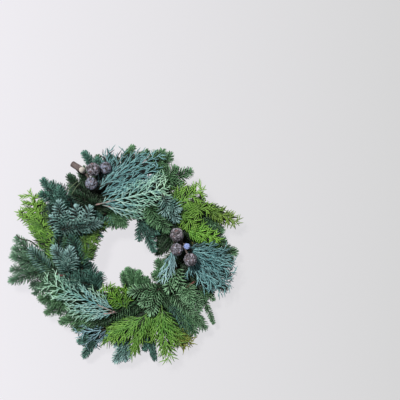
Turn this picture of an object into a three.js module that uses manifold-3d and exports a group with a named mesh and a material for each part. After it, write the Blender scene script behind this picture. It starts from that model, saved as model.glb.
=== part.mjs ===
// A fresh evergreen wreath, lying on its flat back. Millimetres, +Z up, front face upwards.
//
// Two wire hoops sit in the underside of a ring of moss, and a binding wire is wound round both.
// Stems of fir, blue cypress and green cedar stand in holes in the moss, and every spray grows
// clockwise and outwards, or in towards the opening. Two twigs carry the round cypress cones.

import * as THREE from 'three';
import { mergeVertices } from 'three/addons/utils/BufferGeometryUtils.js';
import Module from 'manifold-3d';

const wasm = await Module();
wasm.setup();

// ---------------------------------------------------------------- driving dimensions

const RING_RADIUS = 130; // middle of the moss ring
const RING_SEGMENTS = 20; // flats round the moss ring and the hoops
const MOSS_FOOT_HALF = 18; // half width of the flat underside
const MOSS_BELLY_HALF = 25;
const MOSS_SHOULDER_HALF = 22;
const MOSS_CREST_HALF = 8;
const MOSS_BELLY_HEIGHT = 12;
const MOSS_SHOULDER_HEIGHT = 28;
const MOSS_HEIGHT = 38;

const HOOP_OFFSET = 9; // each hoop from the middle of the ring
const HOOP_HEIGHT = 6.5;
const HOOP_WIRE_RADIUS = 1.6;
const STRUT_COUNT = 6;
const STRUT_HALF = 1.1;
const GROOVE_HALF = 2.1;
const GROOVE_DEPTH = 8.6;
const STRUT_SLOT_HALF = 1.6;

const BINDING_TURNS = 10;
const BINDING_RADIUS = 1.1;
const BINDING_STAND_OFF = 1.6; // wire's middle line above the moss
const BINDING_LOWEST = 1.9; // wire's middle line where it passes underneath
const BINDING_SLOT_HALF = 1.7;
const BINDING_SLOT_DEPTH = 3.6;

const STEM_FOOT_HEIGHT = 20; // where a stem ends inside the moss
const STEM_SET_BACK = 14; // a stem's foot behind its heart
const STEM_LANE_HALF = 15; // feet stay this near the middle of the ring
const STEM_HOLE_CLEARANCE = 0.45;
const ELBOW_SHARE = 0.35; // how far towards the heart a stem bends over
const ELBOW_RISE = 0.88; // and how much of its climb it has made there
const FORK_BEYOND_HEART = 4; // where side shoots leave the leader
const FORK_LENGTH = 3;
const EXIT_MARGIN = 0.8; // from a parent twig's skin to a side twig's first ring

const CLEARANCE = 0.3; // between pieces that don't touch
const MOSS_CLEARANCE = 0.5;
const FLOOR_CLEARANCE = 1;
const NEEDLE_HOLE_MARGIN = 1; // needles and side twigs stay this far out of the hole's boxes
const SIDE_TWIG_HOLE_MARGIN = 3;

const NEEDLE_LENGTH = 18;
const SHORTEST_NEEDLE = 0.88; // shares of that length
const LONGEST_NEEDLE = 1.05;
const NEEDLE_ROOT_RADIUS = 1;
const NEEDLE_TIP_RADIUS = 0.1;
const NEEDLE_LEAN = 64; // degrees off the shoot, at its root
const NEEDLE_TIP_LEAN = 36;
const NEEDLE_LEAN_SPREAD = 6;
const NEEDLE_TURN_SPREAD = 12;
const NEEDLE_UPSWEEP = 0.18;
const FIR_CORE_RADIUS = 1.6;
const FIR_TIP_RADIUS = 1.1;
const FIR_WHORL_SPACING = 15.8;
const FIR_WHORL_TURN = 45; // each whorl from the last, in degrees
const FIR_FIRST_WHORL = 8; // along a side shoot
const FIR_LEADER_WHORL = 4; // beyond the fork, along the leader
const FIR_ROOT_LENGTH = 1.8;
const FIR_TIP_LENGTH = 3; // bare wood beyond the last whorl
const FIR_TIP_REACH = 9; // needles beyond the wood
const FIR_ARCH = 7;

const SHORTEST_SIDE_TWIG = 9; // of a fan, beyond the rib's skin
const FIRST_PAIR_SHARE = 0.07; // of a rib, where its pairs of side twigs begin and end
const LAST_PAIR_SHARE = 0.8;
const SIDE_TWIG_ARCH = 1.5;

const CONE_SCALE_COUNT = 10;
const CONE_SEAM_DEPTH = 0.13; // shares of the cone's radius
const CONE_BOSS_HEIGHT = 0.07;
const CONE_SEAM_WIDTH = 0.22; // radians over the cone
const CONE_BOSS_WIDTH = 0.2;
const CONE_REACH = 1.04; // the highest boss, as a share of the radius
const STALK_SINK = 0.7; // a stalk is drawn this near to its cone's centre, then cut to its surface

// The free air inside the wreath, as boxes in plan: [low x, low y, high x, high y].
const HOLE_BOXES = [
  [-47, -18, 23, 43],
  [-47, -54, -6, -18],
];

const COLOURS = {
  firGreen: '#46705f',
  firGrey: '#5e7f66',
  firBlue: '#6b959b',
  cypressBlue: '#6f9aa0',
  cypressPale: '#9cc7b5',
  cedarGreen: '#5f9440',
  cedarDark: '#2f5f1a',
  cedarPale: '#8cbf6a',
  cedarBright: '#6aa52a',
  cedarOlive: '#7a8f2a',
  cone: '#5f4d56',
  bud: '#8fa8dd',
  bark: '#7a6a66',
  moss: '#5c5a34',
  wire: '#4c5a48',
};

// ---------------------------------------------------------------- small tools

const UP = new THREE.Vector3(0, 0, 1);
const at = (x, y, z) => new THREE.Vector3(x, y, z);
const clamp = THREE.MathUtils.clamp;
const radians = THREE.MathUtils.degToRad;
const mix = (a, b, share) => a.clone().lerp(b, share);
const range = (count) => Array.from({ length: count }, (_, i) => i);

function seededRandom(seed) {
  let state = seed;
  return () => {
    state = (state * 1664525 + 1013904223) % 4294967296;
    return state / 4294967296;
  };
}

const random = seededRandom(24);
const spread = (low, high) => low + (high - low) * random();

function pointOnRing(radius, angle, height) {
  return at(radius * Math.cos(angle), radius * Math.sin(angle), height);
}

// ---------------------------------------------------------------- solids: join and cut

function solidFromTriangles(points, triangles) {
  const vertProperties = new Float32Array(points.flatMap((p) => [p.x, p.y, p.z]));
  const triVerts = new Uint32Array(triangles.flat());
  return new wasm.Manifold(new wasm.Mesh({ numProp: 3, vertProperties, triVerts }));
}

function solidFromGeometry(geometry) {
  const bare = geometry.index ? geometry.toNonIndexed() : geometry.clone();
  bare.deleteAttribute('normal');
  bare.deleteAttribute('uv');
  const merged = mergeVertices(bare, 1e-4);
  const vertProperties = new Float32Array(merged.attributes.position.array);
  const corners = Array.from(merged.index.array);
  const kept = [];
  for (let i = 0; i < corners.length; i += 3) {
    const [a, b, c] = corners.slice(i, i + 3);
    if (a !== b && b !== c && c !== a) kept.push(a, b, c);
  }
  const triVerts = new Uint32Array(kept);
  return new wasm.Manifold(new wasm.Mesh({ numProp: 3, vertProperties, triVerts }));
}

const joined = (solids) => solids.reduce((whole, next) => whole.add(next));
const cutBy = (solid, tools) => solid.subtract(joined(tools));

function geometryFromSolid(solid) {
  const mesh = solid.getMesh();
  const geometry = new THREE.BufferGeometry();
  geometry.setAttribute('position', new THREE.BufferAttribute(mesh.vertProperties, 3));
  geometry.setIndex(new THREE.BufferAttribute(mesh.triVerts, 1));
  geometry.computeVertexNormals();
  return geometry;
}

const wreath = new THREE.Group();

function addPiece(name, solid, color, roughness = 0.75, metalness = 0) {
  const material = new THREE.MeshStandardMaterial({ color, roughness, metalness, flatShading: true });
  const mesh = new THREE.Mesh(geometryFromSolid(solid), material);
  mesh.name = name;
  wreath.add(mesh);
}

// ---------------------------------------------------------------- what is already laid

// Every wire, stem, twig and needle is noted as tapered rods, so that a later one keeps clear.
const laid = [];

function rod(a, b, startRadius, endRadius, owner, twig = null) {
  const reach = a.distanceTo(b) / 2 + Math.max(startRadius, endRadius);
  return { a, b, startRadius, endRadius, owner, twig, middle: mix(a, b, 0.5), reach };
}

// The gap of two tapered rods: the distance of their middle lines, less both radii there.
function gapBetween(p, q) {
  const along = p.b.clone().sub(p.a);
  const across = q.b.clone().sub(q.a);
  const between = p.a.clone().sub(q.a);
  const a = along.dot(along);
  const e = across.dot(across);
  const b = along.dot(across);
  const c = along.dot(between);
  const f = across.dot(between);
  const slant = a * e - b * b;
  let s = slant > 1e-9 ? clamp((b * f - c * e) / slant, 0, 1) : 0;
  const t = clamp((b * s + f) / e, 0, 1);
  s = clamp((b * t - c) / a, 0, 1);
  const distance = mix(p.a, p.b, s).distanceTo(mix(q.a, q.b, t));
  const radii = THREE.MathUtils.lerp(p.startRadius, p.endRadius, s)
    + THREE.MathUtils.lerp(q.startRadius, q.endRadius, t);
  return distance - radii;
}

function clearOf(candidate, other) {
  const near = candidate.reach + other.reach + CLEARANCE;
  if (candidate.middle.distanceTo(other.middle) > near) return true;
  return gapBetween(candidate, other) > CLEARANCE;
}

// A needle keeps clear of all but its own twig; a stem or twig keeps clear of other sprays only.
function isClear(candidate) {
  const own = (other) => (candidate.twig ? other.twig === candidate.twig || other.twig === candidate.besides
    : other.owner === candidate.owner);
  return laid.every((other) => own(other) || clearOf(candidate, other));
}

// ---------------------------------------------------------------- moss ring

// The middle of a flat is this much nearer to the centre than its ends.
const FLAT_SHARE = Math.cos(Math.PI / RING_SEGMENTS);

// Half of the moss section, from the middle of the flat underside round to the crest.
const MOSS_CORNERS = [
  [MOSS_FOOT_HALF, 0],
  [MOSS_BELLY_HALF, MOSS_BELLY_HEIGHT],
  [MOSS_SHOULDER_HALF, MOSS_SHOULDER_HEIGHT],
  [MOSS_CREST_HALF, MOSS_HEIGHT],
];
const MOSS_SECTION = [...MOSS_CORNERS, ...MOSS_CORNERS.map(([u, z]) => [-u, z]).reverse()];

// How far a point stands out of the moss section, counted square to its nearest side. The flats on
// the inside of the ring bulge inwards, so a point there counts as nearer.
function heightOverMoss(point) {
  const radius = Math.hypot(point.x, point.y);
  const u = (radius < RING_RADIUS ? radius / FLAT_SHARE : radius) - RING_RADIUS;
  let height = -Infinity;
  MOSS_SECTION.forEach(([u0, z0], i) => {
    const [u1, z1] = MOSS_SECTION[(i + 1) % MOSS_SECTION.length];
    const length = Math.hypot(u1 - u0, z1 - z0);
    const side = ((u - u0) * (z1 - z0) - (point.z - z0) * (u1 - u0)) / length;
    height = Math.max(height, side);
  });
  return height;
}

function lathe(section) {
  const outline = section.map(([u, z]) => new THREE.Vector2(RING_RADIUS + u, z));
  outline.push(outline[0].clone());
  const geometry = new THREE.LatheGeometry(outline, RING_SEGMENTS);
  geometry.rotateX(Math.PI / 2);
  return solidFromGeometry(geometry);
}

// A bar along a spoke of the ring, from u = low to u = high.
function spokeBar(angle, low, high, half, bottom, top) {
  const geometry = new THREE.BoxGeometry(high - low, 2 * half, top - bottom);
  geometry.translate(RING_RADIUS + (low + high) / 2, 0, (bottom + top) / 2);
  geometry.rotateZ(angle);
  return solidFromGeometry(geometry);
}

const strutAngle = (i) => ((i + 0.5) * 2 * Math.PI) / STRUT_COUNT;
const bindingAngle = (i) => ((i + 0.25) * 2 * Math.PI) / BINDING_TURNS;

function grooveCutter(offset) {
  return lathe([
    [offset - GROOVE_HALF, -1],
    [offset + GROOVE_HALF, -1],
    [offset + GROOVE_HALF, GROOVE_DEPTH],
    [offset - GROOVE_HALF, GROOVE_DEPTH],
  ]);
}

function mossRing(stemTools) {
  const tools = [grooveCutter(HOOP_OFFSET), grooveCutter(-HOOP_OFFSET)];
  range(STRUT_COUNT).forEach((i) => {
    tools.push(spokeBar(strutAngle(i), -HOOP_OFFSET, HOOP_OFFSET, STRUT_SLOT_HALF, -1, GROOVE_DEPTH));
  });
  range(BINDING_TURNS).forEach((i) => {
    const reach = MOSS_BELLY_HALF + 2;
    tools.push(spokeBar(bindingAngle(i), -reach, reach, BINDING_SLOT_HALF, -1, BINDING_SLOT_DEPTH));
  });
  return cutBy(lathe(MOSS_SECTION), [...tools, ...stemTools]);
}

// ---------------------------------------------------------------- wire hoops

function wireFrame() {
  const hoops = [-HOOP_OFFSET, HOOP_OFFSET].map((offset) => lathe(range(4).map((i) => {
    const angle = radians(45 + 90 * i);
    return [offset + HOOP_WIRE_RADIUS * Math.cos(angle), HOOP_HEIGHT + HOOP_WIRE_RADIUS * Math.sin(angle)];
  })));
  const struts = range(STRUT_COUNT).map((i) => {
    const [bottom, top] = [HOOP_HEIGHT - STRUT_HALF, HOOP_HEIGHT + STRUT_HALF];
    return spokeBar(strutAngle(i), -HOOP_OFFSET, HOOP_OFFSET, STRUT_HALF, bottom, top);
  });
  return joined([...hoops, ...struts]);
}

// ---------------------------------------------------------------- binding wire

// The wire's middle line: under the ring along a spoke, then slantwise over the moss to the next.
function bindingPoints() {
  const overMoss = [
    [MOSS_BELLY_HALF + BINDING_STAND_OFF, MOSS_BELLY_HEIGHT],
    [MOSS_SHOULDER_HALF + BINDING_STAND_OFF, MOSS_SHOULDER_HEIGHT + 0.5 * BINDING_STAND_OFF],
    [MOSS_CREST_HALF + 0.5 * BINDING_STAND_OFF, MOSS_HEIGHT + BINDING_STAND_OFF],
  ];
  const over = [...overMoss, ...overMoss.map(([u, z]) => [-u, z]).reverse()];
  const underHalf = MOSS_FOOT_HALF + BINDING_LOWEST + 1;
  const inside = (u) => (RING_RADIUS + u) * (u < 0 ? FLAT_SHARE : 1);
  const points = [];
  range(BINDING_TURNS).forEach((turn) => {
    const start = bindingAngle(turn);
    const step = bindingAngle(turn + 1) - start;
    points.push(pointOnRing(inside(-underHalf), start, BINDING_LOWEST));
    points.push(pointOnRing(inside(underHalf), start, BINDING_LOWEST));
    over.forEach(([u, z], i) => {
      points.push(pointOnRing(inside(u), start + (step * (i + 1)) / (over.length + 1), z));
    });
  });
  return points;
}

// A closed loop of wire with a three-sided section, its corners mitred at each point.
function wireLoop(points, radius) {
  const count = points.length;
  const corners = [];
  points.forEach((point, i) => {
    const next = points[(i + 1) % count];
    const last = points[(i + count - 1) % count];
    const onward = next.clone().sub(point).normalize();
    const tangent = onward.add(point.clone().sub(last).normalize()).normalize();
    const mossMiddle = pointOnRing(RING_RADIUS, Math.atan2(point.y, point.x), MOSS_HEIGHT / 2);
    const across = point.clone().sub(mossMiddle).projectOnPlane(tangent).normalize();
    const over = tangent.clone().cross(across);
    range(3).forEach((k) => {
      const angle = (k * 2 * Math.PI) / 3;
      const offset = across.clone().multiplyScalar(radius * Math.cos(angle));
      corners.push(point.clone().add(offset).addScaledVector(over, radius * Math.sin(angle)));
    });
  });
  const triangles = [];
  range(count).forEach((i) => range(3).forEach((k) => {
    const [a, b] = [3 * i + k, 3 * i + ((k + 1) % 3)];
    const [d, c] = [3 * ((i + 1) % count) + k, 3 * ((i + 1) % count) + ((k + 1) % 3)];
    triangles.push([a, b, c], [a, c, d]);
  }));
  return solidFromTriangles(corners, triangles);
}

// ---------------------------------------------------------------- twigs with needles or twiglets

// A twig is a four-sided rod along a curve, drawn through rings. A face between two rings may be
// drawn out to a point, as a needle or twiglet, or be the root of a side twig, so that a whole
// spray is one skin. Faces are numbered 0 above, 1 left, 2 below and 3 right, before any turn.
const FACES = range(4);
const FACE_LEFT = 1;
const FACE_RIGHT = 3;
const SQUARE_TURN = radians(45);

class Twig {
  constructor(owner, curve, radius, tipRadius) {
    Object.assign(this, { owner, curve, radius, tipRadius, spikes: new Map(), sideTwigs: new Map() });
    this.length = curve.getLength();
    this.rings = [{ distance: 0, turn: SQUARE_TURN }];
    this.whorls = [];
  }

  addRing(distance, turn = SQUARE_TURN) {
    this.rings.push({ distance, turn });
  }

  // A pair of rings whose faces can carry needles, twiglets or side twigs; `share` runs 0 to 1.
  addRoots(distance, rootLength, share, turn = SQUARE_TURN) {
    const roots = { ring: this.rings.length, distance, rootLength, share, turn };
    this.addRing(distance, turn);
    this.addRing(distance + rootLength, turn);
    return roots;
  }

  addWhorl(distance, rootLength, share, turn = SQUARE_TURN) {
    this.whorls.push(this.addRoots(distance, rootLength, share, turn));
  }

  radiusAt(distance) {
    return THREE.MathUtils.lerp(this.radius, this.tipRadius, clamp(distance / this.length, 0, 1));
  }

  frameAt(distance) {
    const share = clamp(distance / this.length, 0, 1);
    const point = this.curve.getPointAt(share);
    const tangent = this.curve.getTangentAt(share);
    const whole = this.curve.getPointAt(1).clone().sub(this.curve.getPointAt(0));
    const across = whole.cross(UP).projectOnPlane(tangent).normalize();
    const over = tangent.clone().cross(across);
    return { point, tangent, across, over };
  }

  // A direction turned round the twig by `angle` and leaning `tilt` off its line.
  direction({ tangent, across, over }, angle, tilt) {
    const outward = across.clone().multiplyScalar(Math.cos(angle)).addScaledVector(over, Math.sin(angle));
    return outward.multiplyScalar(Math.sin(tilt)).addScaledVector(tangent, Math.cos(tilt));
  }

  faceOf(whorl, face) {
    const frame = this.frameAt(whorl.distance + whorl.rootLength / 2);
    const angle = whorl.turn + (face + 0.5) * (Math.PI / 2);
    const outward = this.direction(frame, angle, Math.PI / 2);
    const centre = frame.point.clone().addScaledVector(outward, this.radiusAt(whorl.distance) * Math.SQRT1_2);
    return { frame, angle, centre };
  }

  // The rod's own lengths from ring to ring, between two distances.
  rods(from = 0, to = this.length) {
    const distances = [...this.rings.map(({ distance }) => distance), this.length];
    const kept = distances.filter((distance) => distance > from && distance < to);
    const ends = [from, ...kept, to];
    return ends.slice(1).map((end, i) => {
      const [a, b] = [ends[i], end].map((distance) => this.frameAt(distance).point);
      return rod(a, b, this.radiusAt(ends[i]), this.radiusAt(end), this.owner, this);
    });
  }

  cornersAt({ distance, turn }, swell = 0) {
    const frame = this.frameAt(distance);
    return FACES.map((k) => {
      const outward = this.direction(frame, turn + k * (Math.PI / 2), Math.PI / 2);
      return frame.point.clone().addScaledVector(outward, this.radiusAt(distance) + swell);
    });
  }

  // Adds the twig's skin. `root` is the face it grows from, as four point numbers.
  addSkin(points, triangles, root = null) {
    const place = (corners) => corners.map((corner) => points.push(corner) - 1);
    let lower = root ? this.matchedTo(root, points) : place(this.cornersAt(this.rings[0]));
    if (!root) triangles.push([lower[0], lower[2], lower[1]], [lower[0], lower[3], lower[2]]);
    this.rings.slice(1).forEach((ring, i) => {
      const upper = place(this.cornersAt(ring));
      FACES.forEach((face) => {
        const next = (face + 1) % 4;
        const [a, b, c, d] = [lower[face], lower[next], upper[next], upper[face]];
        const tip = this.spikes.get(`${i},${face}`);
        const sideTwig = this.sideTwigs.get(`${i},${face}`);
        if (sideTwig) {
          sideTwig.addSkin(points, triangles, [a, b, c, d]);
        } else if (tip) {
          const [p] = place([tip]);
          triangles.push([a, b, p], [b, c, p], [c, d, p], [d, a, p]);
        } else {
          triangles.push([a, b, d], [b, c, d]);
        }
      });
      lower = upper;
    });
    const [apex] = place([this.curve.getPointAt(1)]);
    FACES.forEach((face) => triangles.push([lower[face], lower[(face + 1) % 4], apex]));
  }

  // The root's corners in the order that lies nearest to the twig's own first ring.
  matchedTo(root, points) {
    const own = this.cornersAt(this.rings[1]);
    const orders = FACES.map((turn) => FACES.map((k) => root[(k + turn) % 4]));
    const apart = (order) => order.reduce((sum, number, k) => sum + points[number].distanceTo(own[k]), 0);
    return orders.reduce((best, order) => (apart(order) < apart(best) ? order : best));
  }

  skinSolid() {
    const [points, triangles] = [[], []];
    this.addSkin(points, triangles);
    return solidFromTriangles(points, triangles);
  }

  // The hole for the stem: its first rings, a little wider and longer.
  holeSolid(ringCount, swell) {
    const points = this.rings.slice(0, ringCount).flatMap((ring) => this.cornersAt(ring, swell));
    FACES.forEach((k) => points[k].z -= swell);
    const triangles = [[0, 2, 1], [0, 3, 2]];
    range(ringCount - 1).forEach((i) => FACES.forEach((face) => {
      const [a, b] = [4 * i + face, 4 * i + ((face + 1) % 4)];
      triangles.push([a, b, b + 4], [a, b + 4, a + 4]);
    }));
    const last = 4 * (ringCount - 1);
    triangles.push([last, last + 1, last + 2], [last, last + 2, last + 3]);
    return solidFromTriangles(points, triangles);
  }
}

// How far along a side twig its first ring stands clear of the twig that carries it.
function exitDistance(parentRadius, radius, angle) {
  return (parentRadius + radius * Math.cos(angle)) / Math.sin(angle) + EXIT_MARGIN;
}

// ---------------------------------------------------------------- room for needles and twigs

function inHole(point, margin) {
  return HOLE_BOXES.some(([x0, y0, x1, y1]) => point.x > x0 - margin && point.x < x1 + margin
    && point.y > y0 - margin && point.y < y1 + margin);
}

function hasRoom(candidate, holeMargin) {
  const samples = [0.35, 0.6, 0.8, 1].map((share) => mix(candidate.a, candidate.b, share));
  const height = FLOOR_CLEARANCE + candidate.endRadius;
  return samples.every((point) => point.z > height && !inHole(point, holeMargin)
    && heightOverMoss(point) > MOSS_CLEARANCE + candidate.endRadius) && isClear(candidate);
}

// Needles and twiglets are first drawn up and then laid in a mixed order, so that no spray takes
// all the room. One that has no room is laid shorter, or left out.
const wishes = [];

function wishFor(twig, whorl, face, tip, rootRadius) {
  wishes.push({ twig, whorl, face, tip, rootRadius, order: random() });
}

function layWishes() {
  wishes.sort((p, q) => p.order - q.order);
  wishes.forEach(({ twig, whorl, face, tip, rootRadius }) => {
    const { centre } = twig.faceOf(whorl, face);
    const needle = (share) => {
      return rod(centre, mix(centre, tip, share), rootRadius, NEEDLE_TIP_RADIUS, twig.owner, twig);
    };
    const share = [1, 0.75, 0.5].find((part) => hasRoom(needle(part), NEEDLE_HOLE_MARGIN));
    if (!share) return;
    laid.push(needle(share));
    twig.spikes.set(`${whorl.ring},${face}`, needle(share).b);
  });
}

// ---------------------------------------------------------------- sprays

// Each spray stands on a stem, which bends over at the heart into its leading shoot or rib.
function leaderCurve(foot, heart, tip, arch, bow = 0) {
  const sideways = tip.clone().sub(heart).cross(UP).setZ(0).normalize();
  const elbow = mix(foot, heart, ELBOW_SHARE).setZ(THREE.MathUtils.lerp(foot.z, heart.z, ELBOW_RISE));
  const crest = mix(heart, tip, 0.5).addScaledVector(UP, arch / 2).addScaledVector(sideways, bow);
  return new THREE.CatmullRomCurve3([foot, elbow, heart, crest, tip], false, 'centripetal');
}

// A side shoot or twig leaves the leader's middle line and rises in a low arch to its tip.
function sideCurve(start, tip, arch, bow = 0) {
  const sideways = tip.clone().sub(start).cross(UP).setZ(0).normalize();
  const control = mix(start, tip, 0.5).addScaledVector(UP, arch).addScaledVector(sideways, bow);
  return new THREE.QuadraticBezierCurve3(start, control, tip);
}

// The leader's curve has four spans, from foot to elbow, heart, crest and tip.
const SPAN_DIVISIONS = 50;

// The leader from foot to tip, with the rings of its stem and the fork at its heart.
function leaderOf(name, foot, { heart, tip, arch, bow }, forked, radius, tipRadius) {
  const leader = new Twig(name, leaderCurve(foot, heart, tip, arch, bow), radius, tipRadius);
  const lengths = leader.curve.getLengths(4 * SPAN_DIVISIONS);
  leader.addRing(lengths[SPAN_DIVISIONS]);
  leader.heartDistance = lengths[2 * SPAN_DIVISIONS];
  leader.bare = leader.heartDistance + FORK_BEYOND_HEART + FORK_LENGTH;
  if (forked) leader.fork = leader.addRoots(leader.heartDistance + FORK_BEYOND_HEART, FORK_LENGTH, 0);
  else leader.addRing(leader.heartDistance);
  return leader;
}

const turnBetween = (from, to) => Math.atan2(from.x * to.y - from.y * to.x, from.x * to.x + from.y * to.y);

function sideTwigFrom(parent, whorl, face, curve, radius, tipRadius) {
  const twig = new Twig(parent.owner, curve, radius, tipRadius);
  const { tangent } = parent.frameAt(whorl.distance + whorl.rootLength / 2);
  const angle = Math.max(tangent.angleTo(twig.frameAt(3).tangent), 0.2);
  twig.exit = exitDistance(parent.radiusAt(whorl.distance), radius, angle);
  twig.bare = twig.exit;
  twig.addRing(twig.exit);
  twig.parent = parent;
  twig.key = `${whorl.ring},${face}`;
  return twig;
}

// Whorls at even steps from `first` to the tip, each turned on from the last.
function addWhorls(twig, first, spacing, rootLength, tipLength, whorlTurn = 0) {
  const last = twig.length - tipLength - rootLength;
  const count = Math.max(1, Math.round((last - first) / spacing) + 1);
  range(count).forEach((i) => {
    const share = count > 1 ? i / (count - 1) : 1;
    twig.addWhorl(first + (last - first) * share, rootLength, share, SQUARE_TURN + (i % 2) * whorlTurn);
  });
}

const sprays = [];

// Fir: the middle shoot leads and the others leave it at the heart. The tips are those of the
// needles, so each shoot's wood ends a little before.
function fir(name, colour, heart, tips, needleLength = NEEDLE_LENGTH) {
  const growth = tips.reduce((sum, tip) => sum.add(tip), at(0, 0, 0)).divideScalar(tips.length).sub(heart);
  const fromHeart = (point) => point.clone().sub(heart);
  const ends = tips.map((tip) => tip.clone().addScaledVector(fromHeart(tip).normalize(), -FIR_TIP_REACH));
  ends.sort((p, q) => turnBetween(growth, fromHeart(p)) - turnBetween(growth, fromHeart(q)));
  const [lead] = ends.splice(Math.floor(ends.length / 2), 1);
  const course = { heart, tip: lead, arch: FIR_ARCH, bow: 0 };
  const skeleton = (foot) => {
    const leader = leaderOf(name, foot, course, ends.length > 0, FIR_CORE_RADIUS, FIR_TIP_RADIUS);
    const start = leader.frameAt(leader.bare - FORK_LENGTH / 2).point;
    const shoots = ends.map((end) => {
      const face = turnBetween(fromHeart(lead), fromHeart(end)) > 0 ? FACE_LEFT : FACE_RIGHT;
      const curve = sideCurve(start, end, FIR_ARCH);
      return sideTwigFrom(leader, leader.fork, face, curve, FIR_CORE_RADIUS, FIR_TIP_RADIUS);
    });
    addFirWhorls(leader, leader.bare + FIR_LEADER_WHORL);
    shoots.forEach((shoot) => addFirWhorls(shoot, Math.max(FIR_FIRST_WHORL, shoot.exit + 2)));
    return [leader, ...shoots];
  };
  const wish = (twigs) => twigs.forEach((twig) => wishNeedles(twig, needleLength));
  sprays.push({ name, colour, heart, growth, skeleton, growTwigs: () => {}, wish });
}

function addFirWhorls(shoot, first) {
  addWhorls(shoot, first, FIR_WHORL_SPACING, FIR_ROOT_LENGTH, FIR_TIP_LENGTH, radians(FIR_WHORL_TURN));
}

// Four needles to a whorl, leaning forwards, more so towards the shoot's tip.
function wishNeedles(twig, needleLength) {
  twig.whorls.forEach((whorl) => FACES.forEach((face) => {
    const { frame, angle, centre } = twig.faceOf(whorl, face);
    const lean = THREE.MathUtils.lerp(NEEDLE_LEAN, NEEDLE_TIP_LEAN, whorl.share ** 2);
    const tilt = radians(lean + spread(-NEEDLE_LEAN_SPREAD, NEEDLE_LEAN_SPREAD));
    const turn = radians(spread(-NEEDLE_TURN_SPREAD, NEEDLE_TURN_SPREAD));
    const direction = twig.direction(frame, angle + turn, tilt);
    direction.addScaledVector(UP, NEEDLE_UPSWEEP).normalize();
    const length = needleLength * spread(SHORTEST_NEEDLE, LONGEST_NEEDLE);
    wishFor(twig, whorl, face, centre.clone().addScaledVector(direction, length), NEEDLE_ROOT_RADIUS);
  }));
}

// A flat fan of forked cords or scale leaves: side twigs in pairs along each rib, ending on the
// fan's outline, with twiglets to both sides of every twig.
function fan(name, colour, fronds, form) {
  const [first] = fronds;
  const growth = first.tip.clone().sub(first.heart);
  const skeleton = (foot) => {
    const leader = leaderOf(name, foot, first, fronds.length > 1, form.ribRadius, form.tipRadius);
    const start = leader.frameAt(leader.bare - FORK_LENGTH / 2).point;
    const ribs = [leader, ...fronds.slice(1).map(({ tip, arch, bow }) => {
      const face = turnBetween(growth, tip.clone().sub(first.heart)) > 0 ? FACE_LEFT : FACE_RIGHT;
      const curve = sideCurve(start, tip, arch, bow);
      return sideTwigFrom(leader, leader.fork, face, curve, form.ribRadius, form.tipRadius);
    })];
    ribs.forEach((rib, i) => range(fronds[i].pairs).forEach((k) => {
      const step = k / Math.max(1, fronds[i].pairs - 1);
      const share = THREE.MathUtils.lerp(FIRST_PAIR_SHARE, LAST_PAIR_SHARE, step);
      rib.addWhorl(rib.bare + share * (rib.length - rib.bare), form.rootLength, share);
    }));
    return ribs;
  };
  const growTwigs = (ribs) => ribs.slice().forEach((rib, i) => growPairs(ribs, rib, fronds[i], form));
  const wish = (twigs) => twigs.forEach((twig) => wishTwiglets(twig, form));
  sprays.push({ name, colour, heart: first.heart, growth, skeleton, growTwigs, wish });
}

// The side twigs of one rib. One that has no room is grown shorter, or left out.
function growPairs(twigs, rib, { halfWidth }, form) {
  rib.whorls.forEach((whorl) => [FACE_LEFT, FACE_RIGHT].forEach((face) => {
    const side = face === FACE_RIGHT ? 1 : -1;
    const { frame } = rib.faceOf(whorl, face);
    const endShare = THREE.MathUtils.lerp(whorl.share, 1, form.reach);
    const outer = rib.frameAt(rib.bare + endShare * (rib.length - rib.bare));
    const outline = outer.point.clone();
    outline.addScaledVector(outer.across, side * halfWidth * form.outline(endShare));
    [1, 0.8, 0.6, 0.4].some((part) => {
      const end = mix(frame.point, outline, part).addScaledVector(UP, -form.droop * part);
      const curve = sideCurve(frame.point, end, SIDE_TWIG_ARCH, -side * form.twigBow);
      const twig = sideTwigFrom(rib, whorl, face, curve, form.twigRadius, form.tipRadius);
      if (twig.length < twig.exit + SHORTEST_SIDE_TWIG) return false;
      addWhorls(twig, twig.exit + form.firstTwiglet, form.twigletSpacing, form.rootLength, form.tipLength);
      const outside = twig.rods(twig.exit + 1);
      if (!outside.every((piece) => hasRoom({ ...piece, besides: rib }, SIDE_TWIG_HOLE_MARGIN))) return false;
      rib.sideTwigs.set(twig.key, twig);
      twigs.push(twig);
      laid.push(...twig.rods());
      return true;
    });
  }));
}

// Twiglets to both sides of a twig, on the faces that carry no side twig.
function wishTwiglets(twig, form) {
  const isFree = (whorl, face) => !twig.sideTwigs.has(`${whorl.ring},${face}`);
  const freeFaces = (whorl) => [FACE_LEFT, FACE_RIGHT].filter((face) => isFree(whorl, face));
  twig.whorls.forEach((whorl) => freeFaces(whorl).forEach((face) => {
    const { frame, centre } = twig.faceOf(whorl, face);
    const side = face === FACE_RIGHT ? 1 : -1;
    const lean = radians(form.twigletLean + spread(-5, 5));
    const direction = frame.across.clone().multiplyScalar(side * Math.sin(lean));
    direction.addScaledVector(frame.tangent, Math.cos(lean)).addScaledVector(UP, spread(-0.1, 0.15));
    const length = form.twigletLength * THREE.MathUtils.lerp(1.1, 0.8, whorl.share) * spread(0.9, 1.1);
    wishFor(twig, whorl, face, centre.clone().addScaledVector(direction, length), form.twigletRadius);
  }));
}

const CYPRESS_FORM = {
  ribRadius: 1.6,
  twigRadius: 1.1,
  tipRadius: 0.8,
  rootLength: 2,
  firstTwiglet: 4,
  tipLength: 5,
  twigletSpacing: 17,
  twigletLength: 13,
  twigletRadius: 0.9,
  twigletLean: 38,
  twigBow: 3,
  reach: 0.5,
  droop: 4,
  outline: (share) => Math.sqrt(Math.max(0, 1 - ((share - 0.55) / 0.56) ** 2)),
};

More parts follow.
